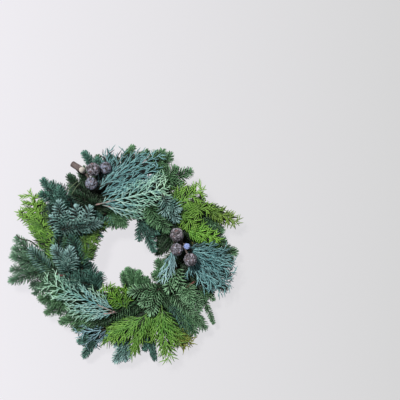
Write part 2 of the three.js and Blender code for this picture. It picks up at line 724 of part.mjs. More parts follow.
const CEDAR_FORM = {
  ...CYPRESS_FORM,
  ribRadius: 1.4,
  twigRadius: 1,
  twigletSpacing: 14,
  twigletLength: 10,
  twigletLean: 44,
  twigBow: 2,
  reach: 0.38,
  droop: 2,
};

const cypress = (name, colour, fronds) => fan(name, colour, fronds, CYPRESS_FORM);
const cedar = (name, colour, fronds) => fan(name, colour, fronds, CEDAR_FORM);

// A rib's course, with the half width of its fan and how many pairs of side twigs it has.
function frond(heart, tip, halfWidth, pairs, arch = 8, bow = 0) {
  return { heart, tip, halfWidth, pairs, arch, bow };
}

const { firGreen, firGrey, firBlue, cypressBlue, cypressPale } = COLOURS;
const { cedarGreen, cedarDark, cedarPale, cedarBright, cedarOlive } = COLOURS;

// Blue cypress, round the ring from the top.
cypress('cypress_top_back', cypressBlue, [frond(at(-54, 133, 66), at(78, 204, 56), 30, 4, 8, -6)]);
cypress('cypress_top_front', cypressPale, [frond(at(-50, 101, 70), at(92, 135, 70), 28, 4, 10)]);
cypress('cypress_right', cypressBlue, [frond(at(128, 9, 68), at(224, -48, 50), 40, 4)]);
cypress('cypress_right_inner', cypressBlue, [frond(at(94, 25, 66), at(70, -55, 56), 14, 3)]);
cypress('cypress_bottom_left', cypressPale, [frond(at(-24, -113, 66), at(-168, -50, 58), 31, 4, 10)]);
cypress('cypress_bottom', cypressBlue, [frond(at(-44, -151, 50), at(-102, -157, 42), 14, 2)]);

// Green cedar.
cedar('cedar_left', cedarGreen, [frond(at(-146, -1, 34), at(-194, 131, 22), 30, 4)]);
cedar('cedar_hole_left', cedarDark, [frond(at(-80, -10, 44), at(-46, 43, 44), 12, 2)]);
cedar('cedar_upper_right', cedarGreen, [
  frond(at(96, 95, 60), at(160, 133, 56), 24, 3),
  frond(at(96, 95, 60), at(146, 55, 58), 17, 2),
]);
cedar('cedar_right_tip', cedarGreen, [frond(at(150, 99, 48), at(230, 61, 38), 13, 3)]);
cedar('cedar_right_bright', cedarBright, [frond(at(114, 53, 54), at(192, 29, 46), 17, 3)]);
cedar('cedar_bottom_pale', cedarPale, [frond(at(74, -107, 62), at(88, -216, 42), 22, 4)]);
cedar('cedar_bottom_olive', cedarOlive, [frond(at(86, -141, 48), at(124, -186, 36), 15, 2)]);
cedar('cedar_bottom_left', cedarPale, [
  frond(at(44, -118, 60), at(-30, -175, 46), 22, 3),
  frond(at(44, -118, 60), at(12, -208, 38), 15, 3),
]);
cedar('cedar_hole_bottom', cedarBright, [frond(at(-2, -103, 58), at(-44, -63, 56), 16, 2)]);

// Fir, clockwise from the left. Each has a heart and the tips of its shoots.
fir('fir_left_outer', firGrey, at(-150, -27, 50), [at(-232, -1, 34), at(-234, -55, 34), at(-222, 35, 34)]);
fir('fir_left_silver', firBlue, at(-114, -35, 62), [at(-142, 19, 68), at(-108, 17, 70)]);
fir('fir_left_inner', firGreen, at(-86, -27, 52), [at(-108, 41, 58), at(-78, 44, 48)]);
fir('fir_left_middle', firGreen, at(-70, -61, 56), [at(-134, -41, 58)]);
fir('fir_hole_left', firGreen, at(-50, -75, 46), [at(-66, -15, 46), at(-82, -20, 46)]);
fir('fir_upper_left_outer', firGreen, at(-118, 85, 46), [at(-168, 153, 40)]);
fir('fir_upper_left_blue', firBlue, at(-122, 37, 50), [at(-134, 109, 52)]);
fir('fir_upper_left_dark', firGreen, at(-54, 93, 50), [
  at(-116, 161, 50), at(-92, 173, 44), at(-112, 128, 56),
]);
fir('fir_upper_left_crest', firBlue, at(-90, 45, 60), [at(-98, 99, 66), at(-66, 97, 68)]);
fir('fir_hole_upper_left', firGreen, at(-98, 37, 44), [at(-24, 71, 50), at(-50, 85, 46)]);
fir('fir_hole_top', firGreen, at(-38, 81, 44), [at(6, 57, 46), at(24, 79, 48)]);
fir('fir_top_left', firGreen, at(-50, 159, 44), [at(-86, 209, 34), at(-26, 203, 36)]);
fir('fir_top', firGreen, at(-10, 165, 40), [at(18, 221, 34), at(50, 209, 36)]);
fir('fir_top_right', firGreen, at(54, 159, 42), [at(94, 203, 34), at(78, 211, 30)]);
fir('fir_upper_right_tuft', firGreen, at(66, 143, 50), [at(136, 167, 46)]);
fir('fir_upper_right_blue', firBlue, at(76, 118, 72), [at(106, 65, 66)]);
fir('fir_upper_right_inner', firGreen, at(50, 100, 60), [at(88, 44, 62), at(66, 52, 64)]);
fir('fir_hole_right', firGreen, at(24, 84, 46), [at(54, 2, 46)]);
fir('fir_right_upper', firGreen, at(146, 79, 34), [at(204, 69, 24), at(198, 43, 24)]);
fir('fir_right_outer', firGreen, at(160, 23, 34), [at(204, 27, 28), at(226, 1, 26)]);
fir('fir_hole_lower_right', firGreen, at(86, -61, 44), [at(64, -9, 44)]);
fir('fir_right_star', firBlue, at(102, -27, 60), [at(86, -77, 62), at(112, -75, 60)]);
fir('fir_lower_right', firGreen, at(122, -57, 54), [at(152, -113, 44), at(132, -107, 52)]);
fir('fir_right_hanging', firGreen, at(150, -71, 40), [at(184, -95, 32), at(180, -145, 24)]);
fir('fir_lower_right_outer', firGreen, at(110, -101, 46), [
  at(156, -141, 34), at(142, -163, 30), at(124, -173, 34),
]);
fir('fir_bottom_fingers', firGreen, at(46, -151, 34), [at(60, -217, 26), at(36, -181, 40)], 12);
fir('fir_bottom_blue', firBlue, at(10, -167, 34), [at(-22, -219, 26)]);
fir('fir_bottom_inner', firGreen, at(66, -71, 56), [at(50, -121, 66), at(6, -75, 62), at(30, -101, 66)]);
fir('fir_hole_bottom', firGreen, at(30, -81, 44), [at(4, -23, 42), at(28, -25, 46), at(46, -39, 44)]);
fir('fir_lower_left_outer', firGreen, at(-106, -91, 46), [at(-176, -87, 34), at(-162, -119, 28)]);
fir('fir_lower_left', firGreen, at(-60, -127, 46), [at(-134, -135, 30), at(-106, -153, 26)]);
fir('fir_bottom_left_fingers', firGreen, at(-54, -155, 34), [at(-86, -211, 24), at(-98, -179, 26)], 14);

// ---------------------------------------------------------------- cones

const GOLDEN_ANGLE = Math.PI * (3 - Math.sqrt(5));

// Directions of a cone's scales: spread evenly over a ball, along a spiral from pole to pole.
function scaleDirections(count) {
  return range(count).map((i) => {
    const height = 1 - (2 * (i + 0.5)) / count;
    return pointOnRing(Math.sqrt(1 - height * height), i * GOLDEN_ANGLE, height);
  });
}

// A ball whose scales swell out, with a sunk line where two scales meet and a small boss on each.
function cone({ centre, radius, lean, detail = 2 }) {
  const geometry = new THREE.IcosahedronGeometry(1, detail);
  const scales = scaleDirections(CONE_SCALE_COUNT);
  const position = geometry.attributes.position;
  const direction = new THREE.Vector3();
  range(position.count).forEach((i) => {
    direction.fromBufferAttribute(position, i).normalize();
    const angles = scales.map((scale) => scale.angleTo(direction)).sort((p, q) => p - q);
    const seam = Math.exp(-(((angles[1] - angles[0]) / CONE_SEAM_WIDTH) ** 2));
    const boss = Math.exp(-((angles[0] / CONE_BOSS_WIDTH) ** 2));
    const size = radius * (CONE_REACH - CONE_SEAM_DEPTH * seam - CONE_BOSS_HEIGHT * (1 - boss));
    position.setXYZ(i, direction.x * size, direction.y * size, direction.z * size);
  });
  geometry.rotateX(lean);
  geometry.rotateZ(2.3 * lean);
  geometry.translate(centre.x, centre.y, centre.z);
  return solidFromGeometry(geometry);
}

const CONES = [
  { name: 'cone_top_1', centre: at(-62, 170, 81), radius: 14, lean: 0.4 },
  { name: 'cone_top_2', centre: at(-38, 173, 66), radius: 12.5, lean: 1.1 },
  { name: 'cone_top_3', centre: at(-66, 142, 74), radius: 13, lean: 1.9 },
  { name: 'cone_right_1', centre: at(104, 40, 84), radius: 14, lean: 2.4 },
  { name: 'cone_right_2', centre: at(104, 11, 84), radius: 12.8, lean: 0.8 },
  { name: 'cone_right_3', centre: at(131, -9, 84), radius: 13.6, lean: 1.5 },
];
const BUD = { name: 'cone_right_bud', centre: at(124, 17, 86), radius: 6.5, lean: 0, detail: 1 };

// ---------------------------------------------------------------- cone twigs

const TWIG_SIDES = 5;

// A bare twig through a few points, with a radius at each, closed flat at both ends.
function bareTwig(points, radii, sides = TWIG_SIDES) {
  const curve = new THREE.CatmullRomCurve3(points, false, 'centripetal');
  const steps = points.length > 2 ? 2 * (points.length - 1) : 1;
  const frames = curve.computeFrenetFrames(steps, false);
  const corners = [];
  range(steps + 1).forEach((i) => {
    const share = i / steps;
    const place = share * (radii.length - 1);
    const low = Math.min(Math.floor(place), radii.length - 2);
    const radius = THREE.MathUtils.lerp(radii[low], radii[low + 1], place - low);
    const middle = curve.getPointAt(share);
    range(sides).forEach((k) => {
      const angle = (k * 2 * Math.PI) / sides;
      const corner = middle.clone().addScaledVector(frames.normals[i], radius * Math.cos(angle));
      corners.push(corner.addScaledVector(frames.binormals[i], radius * Math.sin(angle)));
    });
  });
  const triangles = [];
  range(steps).forEach((i) => range(sides).forEach((k) => {
    const [a, b] = [sides * i + k, sides * i + ((k + 1) % sides)];
    triangles.push([a, b, b + sides], [a, b + sides, a + sides]);
  }));
  const last = sides * steps;
  range(sides - 2).forEach((k) => {
    triangles.push([0, k + 2, k + 1], [last, last + k + 1, last + k + 2]);
  });
  return solidFromTriangles(corners, triangles);
}

function noteTwig(points, radii, owner) {
  range(points.length - 1).forEach((i) => {
    laid.push(rod(points[i], points[i + 1], radii[i], radii[i + 1], owner));
  });
}

// A stalk reaches from the twig into its cone, and is later cut back to the cone's surface.
function stalkTo(joint, { centre, radius }) {
  const outward = joint.clone().sub(centre).normalize();
  const end = centre.clone().addScaledVector(outward, radius * STALK_SINK);
  return { points: [joint, end], radii: [2, 1.5] };
}

const TOP_TWIG = {
  name: 'cone_twig_top',
  pieces: [
    {
      points: [at(-58, 128, 21), at(-61, 140, 46), at(-76, 159, 58), at(-93, 174, 60)],
      radii: [2.6, 2.6, 2.6, 2.6],
    },
    {
      points: [at(-107, 183, 56), at(-95, 175.5, 62), at(-84, 168.5, 69)],
      radii: [6.2, 6.5, 6.5],
      sides: 8,
    },
  ],
  joint: at(-76, 159, 58),
  cones: CONES.slice(0, 3),
};

const RIGHT_TWIG = {
  name: 'cone_twig_right',
  pieces: [
    {
      points: [at(118, 40, 21), at(116, 36, 42), at(112, 26, 56), at(114, 14, 60)],
      radii: [2.6, 2.5, 2.3, 2],
    },
  ],
  joint: at(112, 26, 56),
  cones: [...CONES.slice(3), BUD],
};

function coneTwigPieces({ pieces, joint, cones: carried }) {
  return [...pieces, ...carried.map((carriedCone) => stalkTo(joint, carriedCone))];
}

// The whole twig. Its stalks end a hair's breadth short of the cones they carry.
function coneTwig(twig) {
  const solids = coneTwigPieces(twig).map(({ points, radii, sides }) => bareTwig(points, radii, sides));
  const swollen = twig.cones.map((carried) => cone({ ...carried, radius: carried.radius + CLEARANCE }));
  return cutBy(joined(solids), swollen);
}

// ---------------------------------------------------------------- feet of the stems

const FOOT_SHIFTS = [0, 4, -4, 8, -8, 12, -12, 16, -16, 20, -20]; // along the ring
const LANE_SHIFTS = [0, -9, 9]; // towards the opening or away from it

// Places for a stem's foot: behind the heart, then along the ring to either side of that.
function footPlaces({ heart, growth }) {
  const wanted = heart.clone().addScaledVector(growth.clone().setZ(0).normalize(), -STEM_SET_BACK);
  const [wantedRadius, wantedAngle] = [Math.hypot(wanted.x, wanted.y), Math.atan2(wanted.y, wanted.x)];
  return FOOT_SHIFTS.flatMap((shift) => LANE_SHIFTS.map((outward) => {
    const radius = clamp(wantedRadius + outward, RING_RADIUS - STEM_LANE_HALF, RING_RADIUS + STEM_LANE_HALF);
    return pointOnRing(radius, wantedAngle + shift / RING_RADIUS, STEM_FOOT_HEIGHT);
  }));
}

const stemRods = ([leader]) => leader.rods(0, leader.heartDistance);
const shootRods = ([leader, ...shoots]) => {
  return [...leader.rods(leader.heartDistance), ...shoots.flatMap((shoot) => shoot.rods())];
};

// ---------------------------------------------------------------- the wreath put together

const bindingPath = bindingPoints();
bindingPath.forEach((point, i) => {
  const next = bindingPath[(i + 1) % bindingPath.length];
  laid.push(rod(point, next, BINDING_RADIUS, BINDING_RADIUS, 'binding_wire'));
});
[...CONES, BUD].forEach(({ name, centre, radius }) => {
  const reach = radius * CONE_REACH;
  laid.push(rod(centre, centre.clone().addScaledVector(UP, 0.1), reach, reach, name));
});
[TOP_TWIG, RIGHT_TWIG].forEach((twig) => {
  coneTwigPieces(twig).forEach(({ points, radii }) => noteTwig(points, radii, twig.name));
});

// Each foot goes to the first place where the stem is clear of all shoots and earlier stems.
const fixedCount = laid.length;
sprays.forEach((spray) => laid.push(...shootRods(spray.skeleton(footPlaces(spray)[0]))));
sprays.forEach((spray) => {
  const places = footPlaces(spray);
  const clear = (foot) => stemRods(spray.skeleton(foot)).every((piece) => isClear({ ...piece, twig: null }));
  spray.foot = places.find(clear) ?? places[0];
  laid.push(...stemRods(spray.skeleton(spray.foot)));
});
laid.length = fixedCount;
sprays.forEach((spray) => {
  spray.twigs = spray.skeleton(spray.foot);
  spray.twigs.slice(1).forEach((twig) => twig.parent.sideTwigs.set(twig.key, twig));
  laid.push(...stemRods(spray.twigs), ...shootRods(spray.twigs));
});
sprays.forEach((spray) => spray.growTwigs(spray.twigs));
sprays.forEach((spray) => spray.wish(spray.twigs));
layWishes();

// Each stem's hole runs to the first ring that stands well out of the moss.
const stemTools = sprays.map(({ twigs: [leader] }) => {
  const outside = leader.rings.findIndex((ring) => heightOverMoss(leader.frameAt(ring.distance).point) > 3);
  return leader.holeSolid(outside + 1, STEM_HOLE_CLEARANCE);
});
[TOP_TWIG, RIGHT_TWIG].forEach(({ pieces: [{ points, radii }] }) => {
  const wider = radii.map((radius) => radius + STEM_HOLE_CLEARANCE);
  stemTools.push(bareTwig(points, wider));
});
addPiece('moss_ring', mossRing(stemTools), COLOURS.moss, 0.95);
addPiece('wire_frame', wireFrame(), COLOURS.wire, 0.4, 0.8);
addPiece('binding_wire', wireLoop(bindingPath, BINDING_RADIUS), COLOURS.wire, 0.4, 0.8);

CONES.forEach((shape) => addPiece(shape.name, cone(shape), COLOURS.cone, 0.8));
addPiece(BUD.name, cone(BUD), COLOURS.bud, 0.7);
[TOP_TWIG, RIGHT_TWIG].forEach((twig) => addPiece(twig.name, coneTwig(twig), COLOURS.bark, 0.9));

sprays.forEach(({ name, colour, twigs: [leader] }) => addPiece(name, leader.skinSolid(), colour));

// The origin is under the middle of the whole wreath.
const box = new THREE.Box3().setFromObject(wreath);
const middle = box.getCenter(new THREE.Vector3());
wreath.position.set(-middle.x, -middle.y, -box.min.z);
wreath.updateMatrixWorld(true);

export default wreath;
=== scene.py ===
"""A fresh evergreen wreath lying on its back, seen from straight above."""
import bpy
import numpy as np
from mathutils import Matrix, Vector


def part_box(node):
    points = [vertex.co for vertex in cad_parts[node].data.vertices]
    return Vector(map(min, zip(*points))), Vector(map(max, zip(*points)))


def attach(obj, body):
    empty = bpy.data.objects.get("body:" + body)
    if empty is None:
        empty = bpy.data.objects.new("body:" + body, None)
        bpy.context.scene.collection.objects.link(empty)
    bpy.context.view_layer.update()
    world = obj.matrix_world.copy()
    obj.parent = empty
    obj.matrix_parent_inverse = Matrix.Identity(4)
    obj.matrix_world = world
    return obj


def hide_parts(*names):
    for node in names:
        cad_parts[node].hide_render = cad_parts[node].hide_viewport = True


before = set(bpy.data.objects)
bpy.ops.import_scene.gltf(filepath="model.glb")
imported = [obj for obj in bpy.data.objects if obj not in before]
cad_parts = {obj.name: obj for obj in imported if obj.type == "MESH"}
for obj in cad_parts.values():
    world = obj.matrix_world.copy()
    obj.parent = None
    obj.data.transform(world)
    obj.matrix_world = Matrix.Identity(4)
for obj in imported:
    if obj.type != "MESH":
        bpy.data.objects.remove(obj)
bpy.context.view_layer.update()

# ---------------------------------------------------------------- camera, floor and light
# The wreath lies on a pale backdrop and is seen from straight above, from far enough that nothing
# leans. The backdrop glows like a lit studio sweep, so the shadow on it is faint. A dim sky lights
# the wreath from all round, and one strong light stands high on the upper left.
MM = 0.001
ring_low, ring_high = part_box("moss_ring")
RING_CENTRE = np.array([(ring_low.x + ring_high.x) / 2, (ring_low.y + ring_high.y) / 2, 0.0])


def place(x, y, z):
    """A point of the wreath, counted in millimetres from the middle of its ring, in the frame."""
    return RING_CENTRE + np.array([x, y, z]) * MM


def paint(code):
    """The linear colour of a #rrggbb code: ((c + 0.055) / 1.055) ** 2.4 for each part c of it."""
    parts = np.array([int(code[i:i + 2], 16) for i in (1, 3, 5)]) / 255
    linear = np.where(parts <= 0.04045, parts / 12.92, ((parts + 0.055) / 1.055) ** 2.4)
    return (*linear.tolist(), 1.0)


class Wire:
    """A shader socket. Sums, products and powers of it add Math nodes and give a Wire again."""

    def __init__(self, finish, socket):
        self.finish = finish
        self.socket = socket

    def also(self, output):
        """Another output of the node that this one comes from."""
        return Wire(self.finish, self.socket.node.outputs[output])

    def _math(self, operation, first, second):
        """One Math node on two values, of which either may be a Wire."""
        return self.finish.node("Math", {"operation": operation}, {0: first, 1: second})

    def __add__(self, other):
        return self._math("ADD", self, other)

    def __sub__(self, other):
        return self._math("SUBTRACT", self, other)

    def __rsub__(self, other):
        return self._math("SUBTRACT", other, self)

    def __mul__(self, other):
        return self._math("MULTIPLY", self, other)

    def __pow__(self, other):
        return self._math("POWER", self, other)

    __radd__ = __add__
    __rmul__ = __mul__


class Finish:
    """A material being built, node by node."""

    def __init__(self, name):
        self.material = bpy.data.materials.new(name)
        self.material.use_nodes = True
        self.tree = self.material.node_tree
        self.tree.nodes.clear()

    def node(self, kind, settings=None, sockets=None, output=0):
        """Adds one node of any type: its settings first, then the values or links of its sockets.
        Gives one of its outputs."""
        node = self.tree.nodes.new("ShaderNode" + kind)
        for key, value in (settings or {}).items():
            if key == "stops":
                ramp = node.color_ramp.elements
                ramp.remove(ramp[0])
                for number, (position, colour) in enumerate(value):
                    stop = ramp[0] if number == 0 else ramp.new(position)
                    stop.position = position
                    stop.color = colour
            else:
                setattr(node, key, value)
        for key, value in (sockets or {}).items():
            if isinstance(value, Wire):
                self.tree.links.new(value.socket, node.inputs[key])
            else:
                node.inputs[key].default_value = value
        return Wire(self, node.outputs[output])

    def blend(self, first, second, share):
        """The first colour, with a share of the second over it."""
        return self.node("Mix", {"data_type": "RGBA"}, {0: share, 6: first, 7: second}, 2)

    def clamped(self, value):
        """The value held between 0 and 1."""
        return self.node("Clamp", {}, {0: value})

    def spot(self):
        """Where on the piece, in Object coordinates."""
        return self.node("TexCoord", output="Object")

    def noise(self, scale, detail=2):
        """Cloudy noise on Object coordinates, 0 to 1, with scale clouds to a metre."""
        return self.node("TexNoise", {}, {"Vector": self.spot(), "Scale": scale, "Detail": detail})

    def ramp(self, share, *stops):
        """The colour at a share of the way along stops of (position, colour code)."""
        painted = [(position, paint(code)) for position, code in stops]
        return self.node("ValToRGB", {"stops": painted}, {0: share})

    def bumped(self, height, strength, depth):
        """A normal that follows a height of 0 to 1, which stands for a depth in metres."""
        return self.node("Bump", {}, {"Strength": strength, "Distance": depth, "Height": height})

    def shown(self, shader):
        """The material, ended with a shader."""
        output = self.tree.nodes.new("ShaderNodeOutputMaterial")
        self.tree.links.new(shader.socket, output.inputs["Surface"])
        return self.material

    def surface(self, **sockets):
        """The material, ended with one glossy-over-diffuse shader. _ stands for a space."""
        named = {key.replace("_", " "): value for key, value in sockets.items()}
        return self.shown(self.node("BsdfPrincipled", {}, named))


# Painted light: the backdrop is painted darker from left to right, as the light falls off across it.
BACKDROP_LEFT = paint("#ebe9ee")
BACKDROP_RIGHT = paint("#d3d3d4")
BACKDROP_DARKENS = (-0.25, 0.55)  # from here to here, left to right
BACKDROP_GLOW = 0.93
BACKDROP_SIZE = 6.0
FRAME_WIDTH = 0.8  # of floor across the picture
FRAME_CENTRE = place(150, 109, 50)
CAMERA_HEIGHT = 4.4
SENSOR = 36.0
SKY_COLOUR = (0.93, 0.97, 1.0, 1.0)
SKY_STRENGTH = 0.26
KEY_COLOUR = (1.0, 0.98, 0.94)
KEY_STRENGTH = 4.6
KEY_SPREAD = 0.16
KEY_WAY = (0.35, -0.45, -1.0)

backdrop = Finish("backdrop")
across_floor = backdrop.node("SeparateXYZ", {}, {0: backdrop.spot()})
slope = backdrop.node(
    "MapRange", {}, {0: across_floor, 1: BACKDROP_DARKENS[0], 2: BACKDROP_DARKENS[1]})
backdrop_colour = backdrop.blend(BACKDROP_LEFT, BACKDROP_RIGHT, slope)
glow = backdrop.node("Emission", {}, {"Color": backdrop_colour, "Strength": 1.0})
matt = backdrop.node("BsdfDiffuse", {}, {"Color": backdrop_colour})
backdrop_material = backdrop.shown(
    backdrop.node("MixShader", {}, {0: BACKDROP_GLOW, 1: matt, 2: glow}))

half_floor = BACKDROP_SIZE / 2
floor_mesh = bpy.data.meshes.new("floor")
floor_mesh.from_pydata(
    [(-half_floor, -half_floor, 0), (half_floor, -half_floor, 0),
     (half_floor, half_floor, 0), (-half_floor, half_floor, 0)], [], [(0, 1, 2, 3)])
floor_mesh.materials.append(backdrop_material)
floor = bpy.data.objects.new("floor", floor_mesh)
bpy.context.scene.collection.objects.link(floor)
floor.visible_diffuse = False  # it throws no light up into the foliage, whose gaps stay dark

camera_data = bpy.data.cameras.new("camera")
camera_data.sensor_width = SENSOR
camera_data.lens = SENSOR * (CAMERA_HEIGHT - FRAME_CENTRE[2]) / FRAME_WIDTH
camera = bpy.data.objects.new("camera", camera_data)
camera.location = (FRAME_CENTRE[0], FRAME_CENTRE[1], CAMERA_HEIGHT)
bpy.context.scene.collection.objects.link(camera)
bpy.context.scene.camera = camera

sky = bpy.data.worlds.new("studio")
sky.use_nodes = True
sky.node_tree.nodes["Background"].inputs["Color"].default_value = SKY_COLOUR
sky.node_tree.nodes["Background"].inputs["Strength"].default_value = SKY_STRENGTH
bpy.context.scene.world = sky
bpy.context.scene.view_settings.view_transform = "Standard"

key_light = bpy.data.lights.new("key", "SUN")
key_light.energy = KEY_STRENGTH
key_light.angle = KEY_SPREAD
key_light.color = KEY_COLOUR
key = bpy.data.objects.new("key", key_light)
key.rotation_euler = Vector(KEY_WAY).to_track_quat("-Z", "Y").to_euler()
bpy.context.scene.collection.objects.link(key)

# ---------------------------------------------------------------- moss ring
# A ring of damp moss packed over the wire frame, flat underneath, with a groove for each hoop and
# a slot where the binding wire passes below. Short sprigs of moss stand out all over it.
UP = np.array([0.0, 0.0, 1.0])
RING_RADIUS = 130 * MM
MOSS_OUTLINE = np.array([  # the outer half of the ring's section, from the ground to its crest
    [18, 0], [23, 5], [25, 12], [24.5, 20], [22, 28], [16, 34.5], [8, 38]]) * MM
MOSS_HEART = 18 * MM  # the height of the section's middle, which its lumps rise away from
TUFT_HEART = 16 * MM  # and its sprigs
CLUMP_SIZE = 14 * MM
CURL_SIZE = 5 * MM
MOSS_ROWS = 480
MOSS_SIDES = 92
LUMP_DEPTH = 1.1 * MM
LUMPS_START = 4 * MM  # the lumps fade out below this height
TUFT_COUNT = 5200
TUFT_LENGTH = (3, 6.5)
TUFT_RADII = np.array([0.45, 0.55, 0.1]) * MM
TUFT_LOWEST = 0.8 * MM
HOOP_OFFSET = 9 * MM
HOOP_HEIGHT = 6.5 * MM
GROOVE_HALF = 2.1 * MM
GROOVE_DEPTH = 8.6 * MM
BINDING_TURNS = 10
SLOT_HALF = 1.7 * MM
SLOT_DEPTH = 3.6 * MM


def unit(vectors):
    """Each vector over its own length."""
    return vectors / np.maximum(np.linalg.norm(vectors, axis=-1, keepdims=True), 1e-12)


def write_mesh(name, points, faces, materials, choice=None, leaf=None):
    """One smooth mesh object from points (n, 3) and a list of face arrays (f, corners). choice is
    the number of each face's material, and leaf is four values for each point."""
    mesh = bpy.data.meshes.new(name)
    mesh.vertices.add(len(points))
    mesh.vertices.foreach_set("co", np.asarray(points, np.float32).ravel())
    corners = np.concatenate([f.ravel() for f in faces]).astype(np.int32)
    sizes = np.concatenate([np.full(len(f), f.shape[1]) for f in faces])
    mesh.loops.add(len(corners))
    mesh.loops.foreach_set("vertex_index", corners)
    mesh.polygons.add(len(sizes))
    mesh.polygons.foreach_set("loop_start", (np.cumsum(sizes) - sizes).astype(np.int32))
    for material in materials:
        mesh.materials.append(material)
    if choice is not None:
        mesh.polygons.foreach_set("material_index", np.asarray(choice, np.int32))
    mesh.update(calc_edges=True)
    mesh.polygons.foreach_set("use_smooth", np.ones(len(sizes), bool))
    if leaf is not None:
        layer = mesh.attributes.new("leaf", "FLOAT_COLOR", "POINT")
        layer.data.foreach_set("color", np.asarray(leaf, np.float32).ravel())
    piece = bpy.data.objects.new(name, mesh)
    bpy.context.scene.collection.objects.link(piece)
    return piece


def settle(piece, slot_name, *nodes):
    """The piece rides on the wreath's one body and hides the solids that it stands for; its slot name is
    not used.
    """
    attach(piece, "root")
    if nodes:
        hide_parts(*nodes)


def ring_points(offset, angle, height):
    """Points at a distance off the ring's middle line, at an angle round it and at a height."""
    radius, angle, height = np.broadcast_arrays(RING_RADIUS + offset, angle, height)
    return RING_CENTRE + np.stack([radius * np.cos(angle), radius * np.sin(angle), height], -1)


def closed_grid(rows, columns):
    """Faces of a grid that closes on itself both ways, its first way being counted by row."""
    i, j = np.meshgrid(np.arange(rows), np.arange(columns), indexing="ij")
    k, m = (i + 1) % rows, (j + 1) % columns
    corners = [i * columns + j, k * columns + j, k * columns + m, i * columns + m]
    return np.stack(corners, -1).reshape(-1, 4)


def waves(points, size, seed):
    """Smooth bumps, mostly between -1 and 1: 1.8 times the mean of 9 sine waves that run in seeded
    directions, with wavelengths near the size."""
    rng = np.random.default_rng(seed)
    ways = unit(rng.normal(size=(9, 3))) * 2 * np.pi / (size * rng.uniform(0.6, 1.6, (9, 1)))
    return np.sin(points @ ways.T + rng.uniform(0, 2 * np.pi, 9)).mean(-1) * 1.8


def even_path(corners, count):
    """count points at even steps along a line through the corners."""
    steps = np.linalg.norm(np.diff(corners, axis=0), axis=1)
    along = np.concatenate([[0], np.cumsum(steps)])
    wanted = np.linspace(0, along[-1], count)
    return np.stack([np.interp(wanted, along, corners[:, k]) for k in range(corners.shape[1])], -1)


section_corners = np.concatenate([MOSS_OUTLINE, MOSS_OUTLINE[::-1] * [-1, 1], MOSS_OUTLINE[:1]])
section = even_path(section_corners, MOSS_SIDES + 1)[:-1]
moss_angle = np.linspace(0, 2 * np.pi, MOSS_ROWS, endpoint=False)[:, None]
offset, height = section[:, 0] + 0 * moss_angle, section[:, 1] + 0 * moss_angle
moss_points = ring_points(offset, moss_angle, height)
clump = waves(moss_points, CLUMP_SIZE, 1) + 0.6 * waves(moss_points, CURL_SIZE, 2)
lift = np.clip(height / LUMPS_START, 0, 1) * (clump - 1.1) * LUMP_DEPTH
outward = unit(np.stack([offset, height - MOSS_HEART], -1))
offset, height = offset + lift * outward[..., 0], height + lift * outward[..., 1]
underside = section[:, 1] < 1e-6
groove = np.abs(np.abs(offset) - HOOP_OFFSET) < GROOVE_HALF
slot_angles = (np.arange(BINDING_TURNS) + 0.25) * 2 * np.pi / BINDING_TURNS
slot_gap = np.abs((moss_angle - slot_angles + np.pi) % (2 * np.pi) - np.pi).min(1, keepdims=True)
slot = slot_gap * RING_RADIUS < SLOT_HALF
hollow = np.maximum(groove * GROOVE_DEPTH, slot * SLOT_DEPTH)
height = np.where(underside, hollow, height)
moss_points = ring_points(offset, moss_angle, height)

moss_finish = Finish("damp moss")
patch = moss_finish.noise(60, 4)
grain = moss_finish.noise(900, 2)
moss_colour = moss_finish.ramp(
    patch * 0.6 + grain * 0.4, (0.3, "#2b2a14"), (0.48, "#4a4a22"), (0.62, "#6d6a35"), (0.75, "#857a48"))
moss_bump = moss_finish.bumped(grain, 0.8, 0.0015)
moss_material = moss_finish.surface(Base_Color=moss_colour, Roughness=0.95, Normal=moss_bump)


def sticks(paths, side, half_width, half_depth):
    """Closed four-cornered rods, one for each path (n, rings, 3). Ring corners stand at
    side * half_width and at the cross of path and side * half_depth, turn by turn."""
    count, rings = paths.shape[:2]
    along = unit(np.gradient(paths, axis=1))
    side = unit(side - along * (side * along).sum(-1, keepdims=True))
    below = np.cross(along, side)
    wide, deep = half_width[..., None] * side, half_depth[..., None] * below
    points = np.stack([paths + wide, paths + deep, paths - wide, paths - deep], 2)
    ring = np.arange(rings - 1)[:, None] * 4
    k = np.arange(4)
    following = (k + 1) % 4
    body = np.stack([ring + k, ring + following, ring + 4 + following, ring + 4 + k], -1)
    last = 4 * (rings - 1)
    one = np.concatenate([[[3, 2, 1, 0]], body.reshape(-1, 4), [last + k]])
    faces = (one + (np.arange(count) * 4 * rings)[:, None, None]).reshape(-1, 4)
    return points.reshape(-1, 3), faces


moss_rng = np.random.default_rng(5)
row = moss_rng.integers(0, MOSS_ROWS, TUFT_COUNT)
column = moss_rng.choice(np.flatnonzero(~underside), TUFT_COUNT)
tuft_root = moss_points[row, column]
tuft_out = unit(tuft_root - ring_points(0.0, moss_angle[row, 0], TUFT_HEART))
tuft_way = unit(tuft_out + moss_rng.normal(0, 0.55, (TUFT_COUNT, 3)))
tuft_length = moss_rng.uniform(*TUFT_LENGTH, TUFT_COUNT)[:, None, None] * MM
tuft_t = np.linspace(0, 1, 3)[None, :, None]
tuft_bend = moss_rng.normal(0, 0.35, (TUFT_COUNT, 3))[:, None]
tuft_paths = tuft_root[:, None] + tuft_length * (tuft_way[:, None] * tuft_t + tuft_bend * tuft_t ** 2)
tuft_paths[..., 2] = np.maximum(tuft_paths[..., 2], TUFT_LOWEST)
tuft_side = np.cross(tuft_way, UP + tuft_bend[:, 0])[:, None]
tuft_radii = TUFT_RADII + np.zeros((TUFT_COUNT, 1))
tuft_points, tuft_faces = sticks(tuft_paths, tuft_side, tuft_radii, tuft_radii)
moss = write_mesh(
    "moss_body", np.concatenate([moss_points.reshape(-1, 3), tuft_points]),
    [closed_grid(MOSS_ROWS, MOSS_SIDES), tuft_faces + moss_points.size // 3], [moss_material])
settle(moss, "moss", "moss_ring")

